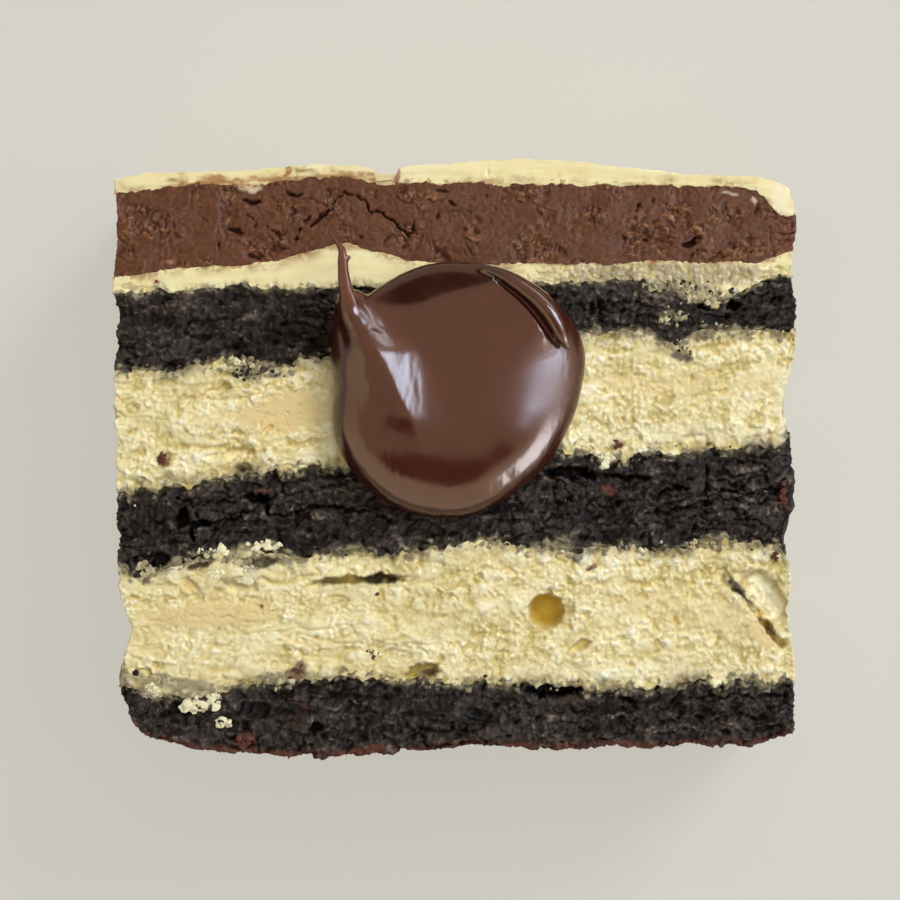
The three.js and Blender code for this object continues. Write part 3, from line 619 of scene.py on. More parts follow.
def measured_lines(trees):
    """The line under each layer and the one on top of the last, as tables of Y over X and Z."""
    sides = [sides_of(tree) for tree in trees]
    between = [(sides[n][1] + sides[n + 1][0]) / 2 for n in range(len(sides) - 1)]
    return [softened(table) for table in [sides[0][0], *between, sides[-1][1]]]


def measured_ends(tree, low, high):
    """A layer's two cut ends, as tables of X over the share across the layer and Z."""
    ends = []
    for x, way in ((-FAR, 1), (FAR, -1)):
        column = 3 if way > 0 else -4
        width = (high[column] - low[column])[None, :]
        margin = np.minimum(END_MARGIN, 0.4 * width)
        y = low[column][None, :] + np.clip(V_AT[:, None] * width, margin, width - margin)
        starts = [(x, y[i, j], Z_AT[j]) for i in range(len(V_AT)) for j in range(len(Z_AT))]
        ends.append(filled(first_hits(tree, starts, (way, 0, 0)).reshape(y.shape)))
    return ends


def measured_top(tree, low, high, ends):
    """A layer's shown face as a table of Z over the shares along and across the layer, without its holes."""
    left, right = (end[:, -1] for end in ends)
    x = left[None, :] + U_AT[:, None] * (right - left)[None, :]
    line_low = np.interp(x, X_AT, low[:, -1])
    line_high = np.interp(x, X_AT, high[:, -1])
    y = line_low + np.clip(V_AT, TOP_SHARE, 1 - TOP_SHARE)[None, :] * (line_high - line_low)
    starts = [(x[i, j], y[i, j], FAR) for i in range(len(U_AT)) for j in range(len(V_AT))]
    hits = first_hits(tree, starts, (0, 0, -1)).reshape(x.shape)
    return softened(np.maximum(filled(hits), FACE_Z - DEEPEST_CRAG))


TREES = [tree_of(layer["node"]) for layer in LAYERS]
LINES = measured_lines(TREES)
ENDS = [measured_ends(tree, LINES[n], LINES[n + 1]) for n, tree in enumerate(TREES)]
TOPS = [measured_top(tree, LINES[n], LINES[n + 1], ENDS[n]) for n, tree in enumerate(TREES)]


# A box whose top is a fine grid and whose sides get coarser with depth

def strip(upper, lower):
    """Faces between two rows of points, of which one may have twice as many as the other."""
    if len(upper) == len(lower):
        return np.stack([upper[:-1], lower[:-1], lower[1:], upper[1:]], 1).tolist()
    if len(upper) > len(lower):
        first, middle, last = upper[:-1:2], upper[1::2], upper[2::2]
        return (
            np.stack([first, lower[:-1], middle], 1).tolist()
            + np.stack([middle, lower[:-1], lower[1:]], 1).tolist()
            + np.stack([middle, lower[1:], last], 1).tolist()
        )
    return [face[::-1] for face in strip(lower, upper)]


def grid_faces(grid):
    """Quads over a grid of point numbers, looking up where its rows run along X and its columns along Y."""
    corners = [grid[:-1, :-1], grid[1:, :-1], grid[1:, 1:], grid[:-1, 1:]]
    return np.stack([c.ravel() for c in corners], 1).tolist()


class GradedBox:
    """A closed box in shares from 0 to 1. counts gives, for each side and level, how many cells it has."""

    def __init__(self, levels, counts):
        self.shares = []
        self.total = 0
        self.faces = []
        along, across = counts["low"][0], counts["left"][0]
        top = self.grid(along, across, 1.0)
        self.faces += grid_faces(top)
        rings = {"low": top[:, 0], "high": top[:, -1], "left": top[0], "right": top[-1]}
        for level, w in list(enumerate(levels))[1:]:
            below = self.ring(counts, level, w)
            self.sew(rings, below)
            rings = below
        self.close(rings)

    def add(self, u, v, w):
        """Adds points at shares along, across and up the box, and gives their numbers."""
        u, v, w = np.broadcast_arrays(u, v, w)
        self.shares.append(np.stack([u.ravel(), v.ravel(), w.ravel()], 1).astype(float))
        numbers = np.arange(self.total, self.total + u.size).reshape(u.shape)
        self.total += u.size
        return numbers

    def grid(self, along, across, w):
        """Adds a grid of points at one height."""
        u = np.linspace(0, 1, along + 1)[:, None]
        v = np.linspace(0, 1, across + 1)[None, :]
        return self.add(u, v, w)

    def ring(self, counts, level, w):
        """Adds the points of a level all round the box, and gives each side's row of them."""
        corner = self.add(np.array([0.0, 1, 0, 1]), np.array([0.0, 0, 1, 1]), w)
        sides = {"low": (0, 1), "high": (2, 3), "left": (0, 2), "right": (1, 3)}
        ring = {}
        for side, (start, end) in sides.items():
            inner = np.linspace(0, 1, counts[side][level] + 1)[1:-1]
            edge = 1.0 if side in ("high", "right") else 0.0
            spots = self.add(inner, edge, w) if side in ("low", "high") else self.add(edge, inner, w)
            ring[side] = np.concatenate([[corner[start]], spots, [corner[end]]])
        return ring

    def sew(self, above, below):
        """Adds the faces between two rings."""
        for side in above:
            faces = strip(above[side], below[side])
            flip = side in ("high", "left")
            self.faces += [face[::-1] for face in faces] if flip else faces

    def close(self, ring):
        """Adds the face that the box rests on, inside the last ring."""
        along, across = len(ring["low"]) - 1, len(ring["left"]) - 1
        grid = np.zeros((along + 1, across + 1), int)
        inner_u = np.linspace(0, 1, along + 1)[1:-1, None]
        inner_v = np.linspace(0, 1, across + 1)[None, 1:-1]
        grid[1:-1, 1:-1] = self.add(inner_u, inner_v, 0.0)
        grid[:, 0], grid[:, -1] = ring["low"], ring["high"]
        grid[0], grid[-1] = ring["left"], ring["right"]
        self.faces += [face[::-1] for face in grid_faces(grid)]

    def points(self):
        return np.concatenate(self.shares)


def side_counts(level_count, n):
    """Cells on each side of layer n at each level: few where a neighbour hides the side."""
    rows = LAYERS[n]["rows"]
    hidden = np.full(level_count, HIDDEN_CELLS)
    hidden[:4] = COLUMNS
    hidden[4:8] = [COLUMNS // 2, COLUMNS // 4, COLUMNS // 8, COLUMNS // 16]
    hidden[-3:] = [HIDDEN_CELLS, 2 * HIDDEN_CELLS, REST_CELLS]
    shown = np.full(level_count, COLUMNS // 2)
    shown[0], shown[-1] = COLUMNS, REST_CELLS
    end = np.full(level_count, rows // 2)
    end[0], end[-1] = rows, rows // 4
    low = shown if n == 0 else hidden
    high = shown if n == len(LAYERS) - 1 else hidden
    return {"low": low, "high": high, "left": end, "right": end}


# From shares to the layers' real places

def line_at(n, x, z):
    """The line under layer n, with the fine unevenness of torn crumb."""
    level = lookup(LINES[n], X_AT, Z_AT, x, z)
    p = np.stack([x, np.full_like(x, 7.3 * n), np.minimum(z, FACE_Z - PLUMB)], 1)
    q = warped(p, 0.6, 0.2, 60 + n)
    torn = lumps(q / 1.1, 40 + n)[2] + 0.9 * lumps(q / 2.7, 70 + n)[2] - 0.95
    rough = LINE_ROUGH[n] * (0.35 * noise(p / 1.7, 30 + n) + 0.25 * noise(p / 0.5, 50 + n) + 0.3 * torn)
    if n == len(LAYERS):
        rough = rough - topping_gap(x, z)
    return level + rough


def topping_gap(x, z):
    """How far the topping is broken away in the gap in its upper edge."""
    middle, half, deep = TOPPING_GAP
    across = np.abs(x - middle + 0.25 * noise(np.stack([z, x, 0 * x], 1) / 0.9, 33)) / half
    return deep * (1 - smoothstep(0.8, 1.05, across)) * near_face(z, GAP_FADE)


def along_layer(n, u, v, depth):
    """X of points of layer n, from their shares along and across it and their heights."""
    left, right = (lookup(end, V_AT, Z_AT, v, depth) for end in ENDS[n])
    return left + u * (right - left)


def placed(n, shares):
    """Where points of layer n lie, from their shares of its length, width and depth."""
    u, v, w = shares.T
    depth = w * FACE_Z
    x = along_layer(n, u, v, depth)
    is_first, is_last = n == 0, n == len(LAYERS) - 1
    low = line_at(n, along_layer(n, u, 0 * v, depth), depth) - (0 if is_first else OVERLAP)
    high = line_at(n + 1, along_layer(n, u, 0 * v + 1, depth), depth) + (0 if is_last else OVERLAP)
    y = low + v * (high - low)
    z = w * lookup(TOPS[n], U_AT, V_AT, u, v)
    return np.stack([x, y, z], 1), low, high


def outward(n, shares):
    """The way that each point's shown faces look. It has no length where a neighbour hides the point."""
    u, v, w = shares.T
    x = (u == 1).astype(float) - (u == 0)
    y = (v == 1).astype(float) * (n == len(LAYERS) - 1) - (v == 0).astype(float) * (n == 0)
    z = (w == 1).astype(float) - (w == 0)
    way = np.stack([x, y, z], 1)
    return way / np.maximum(np.linalg.norm(way, axis=1, keepdims=True), 1e-9)


# Surfaces. Each gives heights along the outward way, and adds to the shares that its material mixes by:
# tone, the crumb's own tone with painted light on raised crumb and painted shade in its gaps, and deep,
# painted shade in holes and cracks. looks has the stains so far.

def ledges(p, size, steps, seed):
    """Torn ledges: how many steps up points lie, and how far back they are from their ledge's edge."""
    rise = steps * cloud(p / np.array(size), seed, 2)
    whole = np.floor(rise)
    back = rise - whole
    return whole + smoothstep(0.8, 1.0, back), back


def crevice(lump, width):
    """How near points lie to the gap between two lumps, up to 1 in the gap."""
    near, second = lump[:2]
    return 1 - smoothstep(0, width, second - near)


OCTAVE_TURN = np.array([[0.36, 0.48, -0.8], [-0.8, 0.6, 0.0], [0.48, 0.64, 0.6]])  # hides the noise's grid


def puffs(p, size, seed, octaves):
    """Heights of rounded lumps with sharp gaps between them, about 0 on average."""
    q = p / np.array(size)
    total = np.zeros(len(p))
    for n in range(octaves):
        total += (np.abs(noise(q, seed + n)) - 0.3) * 0.6**n
        q = 2.0 * q @ OCTAVE_TURN
    return total


def flecks(p, size, rare, seed):
    """Scattered small lumps: 1 in the middle of each, 0 between them. rare is the share that is left out."""
    near, _, level, _ = lumps(p / np.array(size), seed)
    return smoothstep(rare, rare + 0.03, level) * (1 - smoothstep(0.2, 0.45, near))


def domes(lump):
    """Rounded grains: how high points lie on their own lump, about 0 on average."""
    near, _, level, _ = lump
    return (1 - smoothstep(0, 0.8, near)) * (0.35 + 0.65 * level) - 0.25


def flakes(lump):
    """Flat crumbs, each at its own height and lean, about 0 on average."""
    return 0.55 * (lump[2] - 0.5) + 0.75 * lump[3]


def vanilla_surface(p, seed, fine, looks):
    """Moist pale sponge: flakes and grains, torn into ledges on the left and more even on the right."""
    q = warped(p, 0.9, 0.35, seed)
    broad = puffs(q, (3.2, 1.7, 2.2), seed + 3, 3)
    flake = lumps(q / np.array([1.5, 0.95, 1.2]), seed + 9)
    grains = 0.75 * flakes(flake) + 0.55 * domes(fine) + 0.4 * flakes(fine)
    seam = crevice(flake, 0.16) * smoothstep(0.1, 0.4, noise(p / 1.3, seed + 29))
    step, back = ledges(q, (6.0, 1.7, 3.0), 1.3, seed + 13)
    chip = flecks(q, (0.8, 0.55, 0.6), 0.86, seed + 21)
    gap = flecks(q, (1.0, 0.65, 0.7), 0.9, seed + 23)
    swell = cloud(p / 4.5, seed + 7)
    torn = 1 - 0.85 * looks["tan"]
    patchy = 0.55 + 0.5 * cloud(p / np.array([4.0, 2.2, 3.0]), seed + 27)
    crumbly = torn * np.clip(patchy + 0.35 * smoothstep(-5, 15, p[:, 0]), 0.2, 1)
    smooth_side = 1 - 0.8 * smoothstep(-6, 10, p[:, 0])
    # Painted shadow: a dark band at the foot of each ledge on the left, which also sinks the face a little.
    shadow = smooth_side * smoothstep(0.6, 0.78, back) * (1 - smoothstep(0.8, 0.9, back))
    # The seams between flakes are painted darker as shade, and the seams and ledge shadows also sink the
    # face.
    seam_and_shadow = np.maximum(crumbly * seam, 0.7 * torn * shadow)
    pale = 0.43 + torn * (0.3 * broad + 0.36 * chip)
    # Painted light and shade: raised grains are painted paler, seams and ledge shadows darker.
    looks["tone"] = pale + crumbly * grains - 0.2 * seam_and_shadow + 0.12 * swell
    # Painted shade: gaps, seams and ledge shadows take the deep golden colour of shade in the sponge.
    looks["deep"] = np.maximum(0.45 * torn * gap, 0.3 * seam_and_shadow)
    rough = 0.28 * broad + 0.14 * smooth_side * step + 0.14 * chip - 0.3 * gap
    return 0.1 * swell + torn * rough + 0.6 * crumbly * grains - 0.18 * seam_and_shadow


def dark_surface(p, seed, fine, looks):
    """Dark sponge: slabs with gaps between them, grains on the slabs and a few pale specks."""
    q = warped(p, 0.9, 0.35, seed)
    broad = puffs(q, (3.4, 1.2, 2.0), seed + 3, 2)
    flake = lumps(q / np.array([1.3, 0.6, 0.8]), seed + 9)
    grains = 0.7 * flakes(flake) + 0.4 * domes(fine) + 0.7 * flakes(fine)
    slab = lumps(q / np.array([4.8, 1.3, 2.2]), seed + 13)
    gap = flecks(q, (1.5, 0.6, 0.9), 0.83, seed + 33)
    speck = flecks(q, (0.6, 0.5, 0.5), 0.96, seed + 37)
    swell = cloud(p / 4.0, seed + 7)
    opened = smoothstep(-0.2, 0.2, noise(p / 2.2, seed + 27))
    fissure = np.maximum(opened * crevice(slab, 0.13), gap)
    rise = 0.25 * broad + 0.5 * flakes(slab)
    # Painted light: raised slabs and grains are painted paler.
    looks["tone"] = 0.39 + rise + 0.95 * grains + 0.14 * swell + 0.45 * speck
    # Painted shade: fissures and gaps take the near-black colour of shade.
    looks["deep"] = 0.97 * fissure
    return 0.14 * swell + rise + 0.45 * grains - 0.5 * fissure


def fudge_surface(p, seed, fine, looks):
    """Dense fudge: smooth where it is whole, with chips, lips and cracks where it has broken up."""
    level, tilt = fine[2:]
    q = warped(p, 0.7, 0.3, seed)
    chip = lumps(q / np.array([1.3, 0.7, 1.0]), seed + 3)
    step, back = ledges(q, (2.6, 1.6, 2.0), 1.8, seed + 13)
    swell = cloud(p / 3.5, seed + 7)
    grain = cloud(p / 0.3, seed + 17, 2)
    flaky = np.clip(0.2 + 0.7 * looks["tan"] + 0.6 * smoothstep(-0.1, 0.5, noise(p / 1.8, seed + 27)), 0, 1)
    broken = smoothstep(0.25, 0.6, chip[2])
    apart = chip[1] - chip[0]
    crack = flaky * np.maximum(broken * crevice(chip, 0.09), smoothstep(0.7, 0.77, back) * (back < 0.84))
    lip = flaky * broken * smoothstep(0.05, 0.12, apart) * (1 - smoothstep(0.16, 0.34, apart))
    flake = 0.6 * chip[3] + 0.4 * tilt + 0.3 * (level - 0.5) + 0.35 * lip
    # Painted light: lips and raised chips are painted paler.
    looks["tone"] = 0.48 + flaky * flake + 0.12 * grain
    # Painted shade: cracks take the dark colour of shade.
    looks["deep"] = 0.9 * crack
    looks["tan"] = 0.3 * looks["tan"] * smoothstep(0.35, 0.8, level)
    rough = 0.16 * step + 0.14 * (chip[2] - 0.5) + 0.34 * chip[3] + 0.1 * (level - 0.5) + 0.16 * tilt
    return 0.06 * swell + flaky * rough + 0.03 * grain - 0.25 * crack


def cream_surface(p, seed, fine, looks):
    """Smooth cream, dragged along the layer, and grainy where dark crumb lies in it."""
    level, tilt = fine[2:]
    swell = cloud(p / np.array([5.0, 2.5, 4.0]), seed)
    drag = cloud(p / np.array([3.5, 0.7, 0.8]), seed + 4)
    grainy = np.clip(2.4 * looks["soot"], 0, 1)
    looks["soot"] = looks["soot"] * np.clip(0.35 + 1.3 * level, 0, 1)
    rough = grainy * (0.3 * (level - 0.5) + 0.5 * tilt)
    looks["tan"] = looks["tan"] * np.clip(0.75 + 0.9 * drag + 0.5 * (level - 0.5), 0, 1)
    # Painted light: the grainy crumb is painted paler where it is raised.
    looks["tone"] = 0.55 + 0.1 * drag + 0.12 * swell + 1.8 * rough
    looks["deep"] = np.zeros(len(p))
    return 0.10 * swell + 0.03 * drag + rough


SURFACES = {"vanilla": vanilla_surface, "dark": dark_surface, "fudge": fudge_surface, "cream": cream_surface}
FINE_LUMP = 0.5  # size of the small crumb of every layer
DEEP_AT = {  # the depths at which holes begin to take on their painted shade, and have it in full
    "vanilla": (0.3, 3.0), "dark": (0.1, 0.9), "fudge": (0.1, 0.9), "cream": (0.1, 0.9),
}


def stained(node, p, seed, level):
    """The stains of a layer at points, made of whole small lumps rather than of smooth paint."""
    looks = {key: np.zeros(len(p)) for key in STAIN_KEYS}
    ragged = warped(p, 0.8, 0.3, seed)
    showing = near_face(p[:, 2], STAIN_FADE)
    for key, spots in STAINS[node].items():
        for *place, strength in spots:
            reach = oval(ragged, *place) + 0.3 * (level - 0.5)
            amount = strength * showing * (1 - smoothstep(0.55, 1.1, reach))
            looks[key] = np.maximum(looks[key], amount)
    return looks


def cut_depth(node, p, seed):
    """How deep the holes and cracks of a layer's shown face go at points."""
    ragged = warped(warped(p, 1.1, 0.3, seed + 5), 0.45, 0.22, seed)
    uneven = 0.8 + 0.7 * noise(p / 0.7, seed + 9)
    depth = np.zeros(len(p))
    for *place, deep in HOLES.get(node, ()):
        reach = oval(ragged, *place)
        depth = np.maximum(depth, deep * (1 - smoothstep(0.65, 1.1, reach)))
    for half_width, deep, path in CRACKS.get(node, ()):
        reach = from_path(ragged, path) / (half_width * uneven)
        depth = np.maximum(depth, deep * (1 - smoothstep(0.4, 1.3, reach)))
    if node == BUBBLE["node"]:
        reach = oval(p, *BUBBLE["oval"])
        depth = np.maximum(depth, BUBBLE["depth"] * np.sqrt(np.clip(1 - reach**3, 0, 1)))
    return depth * near_face(p[:, 2], CUT_FADE)


def pocket_depth(node, p, seed):
    """How deep the torn pocket at the right end goes at points. It is too shallow to be dark."""
    if node != POCKET["node"]:
        return 0.0
    reach = oval(warped(p, 0.9, 0.25, seed), *POCKET["oval"])
    return POCKET["depth"] * (1 - smoothstep(0.75, 1.0, reach)) * near_face(p[:, 2], CUT_FADE)


def mix_edges(n, p, from_low, from_high, level, looks):
    """Adds a fading stain and single crumbs of the neighbouring layers along the two lines of layer n."""
    patchy = np.clip(0.55 + 1.1 * noise(p / 1.6, 90 + n), 0, 1)
    for other, distance in ((n - 1, from_low), (n + 1, from_high)):
        if 0 <= other < len(LAYERS):
            key, reach, haze, crumb_reach, crumb = MIXES[LAYERS[n]["kind"], LAYERS[other]["kind"]]
            fading = haze * patchy * (1 - smoothstep(0, reach, distance)) * np.clip(0.4 + 1.2 * level, 0, 1)
            single = crumb * smoothstep(-0.06, 0.06, (2 * level - 1) * crumb_reach - distance)
            looks[key] = np.maximum(looks[key], np.maximum(fading, single))


# Meshes

def new_piece(name, points, faces, shares, material, nodes=()):
    """A smooth piece of the slice, from points in millimetres, with a share for each point by name."""
    mesh = bpy.data.meshes.new(name)
    mesh.from_pydata((points * MM).tolist(), [], faces)
    mesh.polygons.foreach_set("use_smooth", np.ones(len(mesh.polygons), bool))
    for key, values in shares.items():
        mesh.attributes.new(key, "FLOAT", "POINT").data.foreach_set("value", values.astype(np.float32))
    mesh.materials.append(material)
    piece = bpy.data.objects.new(name, mesh)
    bpy.context.scene.collection.objects.link(piece)
    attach(piece, "root")
    if nodes:
        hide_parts(*nodes)
    return piece


def baked_crust(p, from_low, level, seed):
    """How much of the base's thin baked crust shows at points."""
    crust = 1 - smoothstep(0.35, 0.75, from_low + 0.35 * noise(p / 1.6, seed + 47) + 0.3 * (level - 0.5))
    return crust * (0.25 + 0.65 * smoothstep(-0.4, 0.4, noise(p / 2.2, seed + 48)))


def layer_relief(n, p, from_low, from_high):
    """Heights and looks of layer n at points on its shown faces."""
    node, seed = LAYERS[n]["node"], 100 + 50 * n
    fine = lumps(warped(p, 0.7, 0.25, seed + 40) / FINE_LUMP, seed + 43)
    level = fine[2]
    looks = stained(node, p, seed + 30, level)
    mix_edges(n, p, from_low, from_high, level, looks)
    if n == 0:
        looks["rust"] = np.maximum(looks["rust"], baked_crust(p, from_low, level, seed))
    height = SURFACES[LAYERS[n]["kind"]](p, seed, fine, looks)
    depth = cut_depth(node, p, seed + 35)
    # Painted shade: holes and cracks take on the colour of shade as they get deeper, and less of it under
    # the dark stain.
    deep = np.maximum(looks["deep"], smoothstep(*DEEP_AT[LAYERS[n]["kind"]], depth))
    looks["deep"] = deep * (1 - 0.9 * looks["soot"])
    return height - np.maximum(depth, pocket_depth(node, p, seed + 37)), looks


def layer_piece(n, material):
    """Layer n as a closed mesh with its relief and looks."""
    layer = LAYERS[n]
    level_count = int(FACE_Z / DEEP_STEP) + 1
    levels = np.linspace(1, 0, level_count)
    box = GradedBox(levels, side_counts(level_count, n))
    shares = box.points()
    points, low, high = placed(n, shares)
    way = outward(n, shares)
    shown = np.linalg.norm(way, axis=1) > 0.5
    height, looks = layer_relief(n, points[shown], (points[:, 1] - low)[shown], (high - points[:, 1])[shown])
    on_end = np.abs(way[shown][:, 0]) > 0.1
    height = np.where(on_end, np.clip(height, *END_RELIEF), height)
    points[shown] += way[shown] * height[:, None]
    points[:, 2] = np.maximum(points[:, 2], 0)
    all_looks = {key: np.zeros(len(points)) for key in looks}
    for key, values in looks.items():
        all_looks[key][shown] = values
    name = layer["node"] + "_crumb"
    return new_piece(name, points, box.faces, all_looks, material, [layer["node"]])


# Loose crumbs

def crumb_places(random):
    """Where loose crumbs lie, as lists of (x, y, size) by kind."""
    places = {kind: [] for kind in CRUMB_LOOKS}
    for kind, x, y, spread_x, spread_y, count, size in CLUSTERS:
        for _ in range(count):
            spot = (x + spread_x * random.normal(0, 0.6), y + spread_y * random.normal(0, 0.6))
            places[kind].append((*spot, size * random.uniform(0.3, 1) ** 1.5))
    for _ in range(EDGE_CRUMBS):
        n = random.choice(EDGE_LINES)
        x = random.uniform(-EDGE_HALF, EDGE_HALF)
        y = line_at(n, np.array([x]), np.array([FACE_Z]))[0] + random.normal(0, EDGE_SPREAD)
        places[random.choice(["dark", "grey"])].append((x, y, random.uniform(*EDGE_SIZE)))
    return {kind: [spot for spot in spots if on_face(*spot)] for kind, spots in places.items()}


def on_face(x, y, size):
    """Whether a crumb lies on the face and not out over its edge."""
    left, right = (end[len(V_AT) // 2, -1] for end in ENDS[1])
    low, high = (np.interp(x, X_AT, LINES[n][:, -1]) for n in (0, -1))
    return left + size < x < right - size and low + size < y < high - size


def pebble():
    """Points and faces of a round ball with a radius of 1."""
    ball = bmesh.new()
    bmesh.ops.create_icosphere(ball, subdivisions=2, radius=1)
    points = np.array([v.co for v in ball.verts])
    faces = np.array([[v.index for v in face.verts] for face in ball.faces])
    ball.free()
    return points, faces


def crumb_piece(kind, places, material, random):
    """All loose crumbs of a kind as one mesh of dented, flattened balls."""
    ball, ball_faces = pebble()
    points, faces, tones_and_shades = [], [], []
    for number, (x, y, size) in enumerate(places):
        spin = np.linalg.qr(random.normal(size=(3, 3)))[0]
        dents = 1 + 0.55 * noise(ball * 1.5 + 9.7 * number, 5) + 0.25 * noise(ball * 3.1 + 4.3 * number, 6)
        lump = (ball * dents[:, None] * random.uniform(0.5, 1.2, 3)) @ spin * size
        points.append(lump * np.array([1, 1, FLAT]) + np.array([x, y, FACE_Z - SUNK * size]))
        faces.append(ball_faces + number * len(ball))
        # Painted light: the raised parts of each crumb are painted paler, on top of a random tone.
        tones_and_shades.append(np.clip(0.35 + 0.5 * (dents - 1) + random.uniform(-0.15, 0.25), 0, 1))
    looks = {key: np.zeros(len(points) * len(ball)) for key in (*STAIN_KEYS, "deep")}
    looks["tone"] = np.concatenate(tones_and_shades)
    if kind in CRUMB_STAINS:
        key, strength = CRUMB_STAINS[kind]
        looks[key] += strength
    if kind == "grey":
        looks["soot"] += np.repeat(random.uniform(*GREY_SOOT, len(places)), len(ball))
    all_points, all_faces = np.concatenate(points), np.concatenate(faces).tolist()
    piece = new_piece("crumbs_" + kind, all_points, all_faces, looks, material)
    piece.data.polygons.foreach_set("use_smooth", np.zeros(len(piece.data.polygons), bool))
    return piece


# The spoonful, as a closed surface where a field of distances is zero

def spline(points, parts=5):
    """A smooth line through points, with parts steps between each two."""
    points = np.array(points, float)
    ends = np.concatenate([[2 * points[0] - points[1]], points, [2 * points[-1] - points[-2]]])
    steps = np.linspace(0, 1, parts, endpoint=False)[:, None]
    out = []
    for a, b, c, d in zip(ends, ends[1:], ends[2:], ends[3:]):
        curve = (2 * a - 5 * b + 4 * c - d) * steps**2 + (3 * b - a - 3 * c + d) * steps**3
        out.append(b + 0.5 * ((c - a) * steps + curve))
    return np.concatenate([*out, points[-1:]])


def from_line(q, line):
    """How far points lie from a round line that changes in thickness, below 0 inside it."""
    best = np.full(len(q), FAR)
    for start, end in zip(line, line[1:]):
        along = end[:3] - start[:3]
        share = np.clip((q - start[:3]) @ along / (along @ along), 0, 1)
        radius = start[3] + share * (end[3] - start[3])
        best = np.minimum(best, np.linalg.norm(q - start[:3] - share[:, None] * along, axis=1) - radius)
    return best


def joined(a, b, blend):
    """Two distances as one, with a fillet as wide as the blend."""
    near = np.maximum(blend - np.abs(a - b), 0) / blend
    return np.minimum(a, b) - near * near * blend / 4


def carved(a, b, blend):
    """A distance with another taken out of it, and the edges eased."""
    return -joined(-a, b, blend)


def all_round(values):
    """A smooth line through values given every few degrees, all the way round."""
    return spline([(ANGLE_STEP * n, values[n % len(values)]) for n in range(-2, len(values) + 3)])


OUTLINE_LINE = all_round(DOLLOP_OUTLINE)
ROUND_LINE = all_round([1 / value for value in DOLLOP_SQUARE])
HOLLOW_LINE = spline(HOLLOW)
CREST_LINE, TAIL_LINE, FLANK_LINE, FOLD_LINE = (spline(line, 8) for line in (CREST, TAIL, FLANK, FOLD))
GROOVE_LINE, PINCH_LINE, NUB_LINE, SPUR_LINE = (spline(line) for line in (GROOVE, PINCH, NUB, SPUR))


def right_of_crest(x, y):
    """How far places lie to the right of the crest, along X."""
    return x - np.interp(y, CREST_LINE[:, 0], CREST_LINE[:, 1])


def crest_lift(x, y):
    """How far the crest lifts the face: a scooped slope on its right, a falling flank on its left."""
    width = np.interp(y, CREST_LINE[:, 0], CREST_LINE[:, 2])
    right = CREST_LEAN * right_of_crest(x, y)
    from_crest = np.sqrt(right**2 + CREST_ROUND**2) - CREST_ROUND
    reach = np.where(right > 0, width - from_crest, width)
    slope = SCOOP_SLOPE * SCOOP_SOFT * np.logaddexp(0, reach / SCOOP_SOFT) * smoothstep(0, SCOOP_FULL, width)
    return slope * np.where(right > 0, 1, 1 - smoothstep(0, FLANK_WIDTH, from_crest))


def drawn_share(x, y):
    """How far the spoon has dulled the face, drawn up to the crest and brushed at the right rim."""
    right = right_of_crest(x, y)
    drawn = smoothstep(-0.4, 0.3, right) * smoothstep(5.0, 3.2, right) * smoothstep(-5.0, -2.0, y)
    from_brushed = np.hypot(x - BRUSHED[0], y - BRUSHED[1])
    return np.maximum(drawn, BRUSHED_SHARE * smoothstep(BRUSHED[2], 0, from_brushed))


def hollow_rise(x, y):
    """How far the face rises to its lip on the topping's side."""
    start = np.interp(x, HOLLOW_LINE[:, 0], HOLLOW_LINE[:, 1])
    return HOLLOW_SLOPE * HOLLOW_SOFT * np.logaddexp(0, (y - start) / HOLLOW_SOFT)


def body_field(q):
    """Below 0 inside the spoonful's body, which has a square rim on the topping's side."""
    x, y, height = q.T
    angle = np.degrees(np.arctan2(y, x)) % 360
    share = np.hypot(x, y) / np.interp(angle, *OUTLINE_LINE.T)
    power = 1 / np.interp(angle, *ROUND_LINE.T)
    top = DOLLOP_TOP + crest_lift(x, y) + hollow_rise(x, y)
    rise = np.where(height > DOLLOP_EDGE, (height - DOLLOP_EDGE) / top, (DOLLOP_EDGE - height) / DOLLOP_FOOT)
    return share**power + rise * rise - 1


def body_distance(q, step=0.02):
    """About how far points lie from the body, below 0 inside it."""
    value = body_field(q)
    slopes = [(body_field(q + step * np.eye(3)[axis]) - value) / step for axis in range(3)]
    return value / np.maximum(np.sqrt(sum(s * s for s in slopes)), 0.05)


def streaks(q):
    """Faint streaks that the spoon left on the crest and along the rim."""
    on_crest = smoothstep(-1, -4, q[:, 0]) * smoothstep(6, 3, q[:, 1])
    on_rim = smoothstep(8.5, 11, np.hypot(q[:, 0], q[:, 1])) * smoothstep(-9, -7, q[:, 0])
    where = np.maximum(on_crest, on_rim)
    return STREAK_HIGH * where * cloud(q / np.array(STREAK), 17, 2)


def dollop_field(q):
    """Distance to the spoonful's surface at points from its middle on the cake."""
    tail_blend = TAIL_BLEND[0] + TAIL_BLEND[1] * smoothstep(10, 7, q[:, 1])
    from_groove = from_line(q * GROOVE_UPRIGHT[:3], GROOVE_LINE * GROOVE_UPRIGHT)
    field = joined(body_distance(q), from_line(q, FLANK_LINE), BLENDS["flank"])
    field = joined(field, from_line(q, TAIL_LINE), tail_blend)
    field = joined(field, from_line(q, FOLD_LINE), BLENDS["fold"])
    field = carved(field, from_groove, BLENDS["groove"])
    field = carved(field, from_line(q, PINCH_LINE), BLENDS["pinch"])
    field = joined(field, from_line(q, NUB_LINE), BLENDS["nub"])
    field = joined(field, from_line(q, SPUR_LINE), BLENDS["spur"]) + streaks(q)
    return np.maximum(field, -DOLLOP_SUNK - q[:, 2])


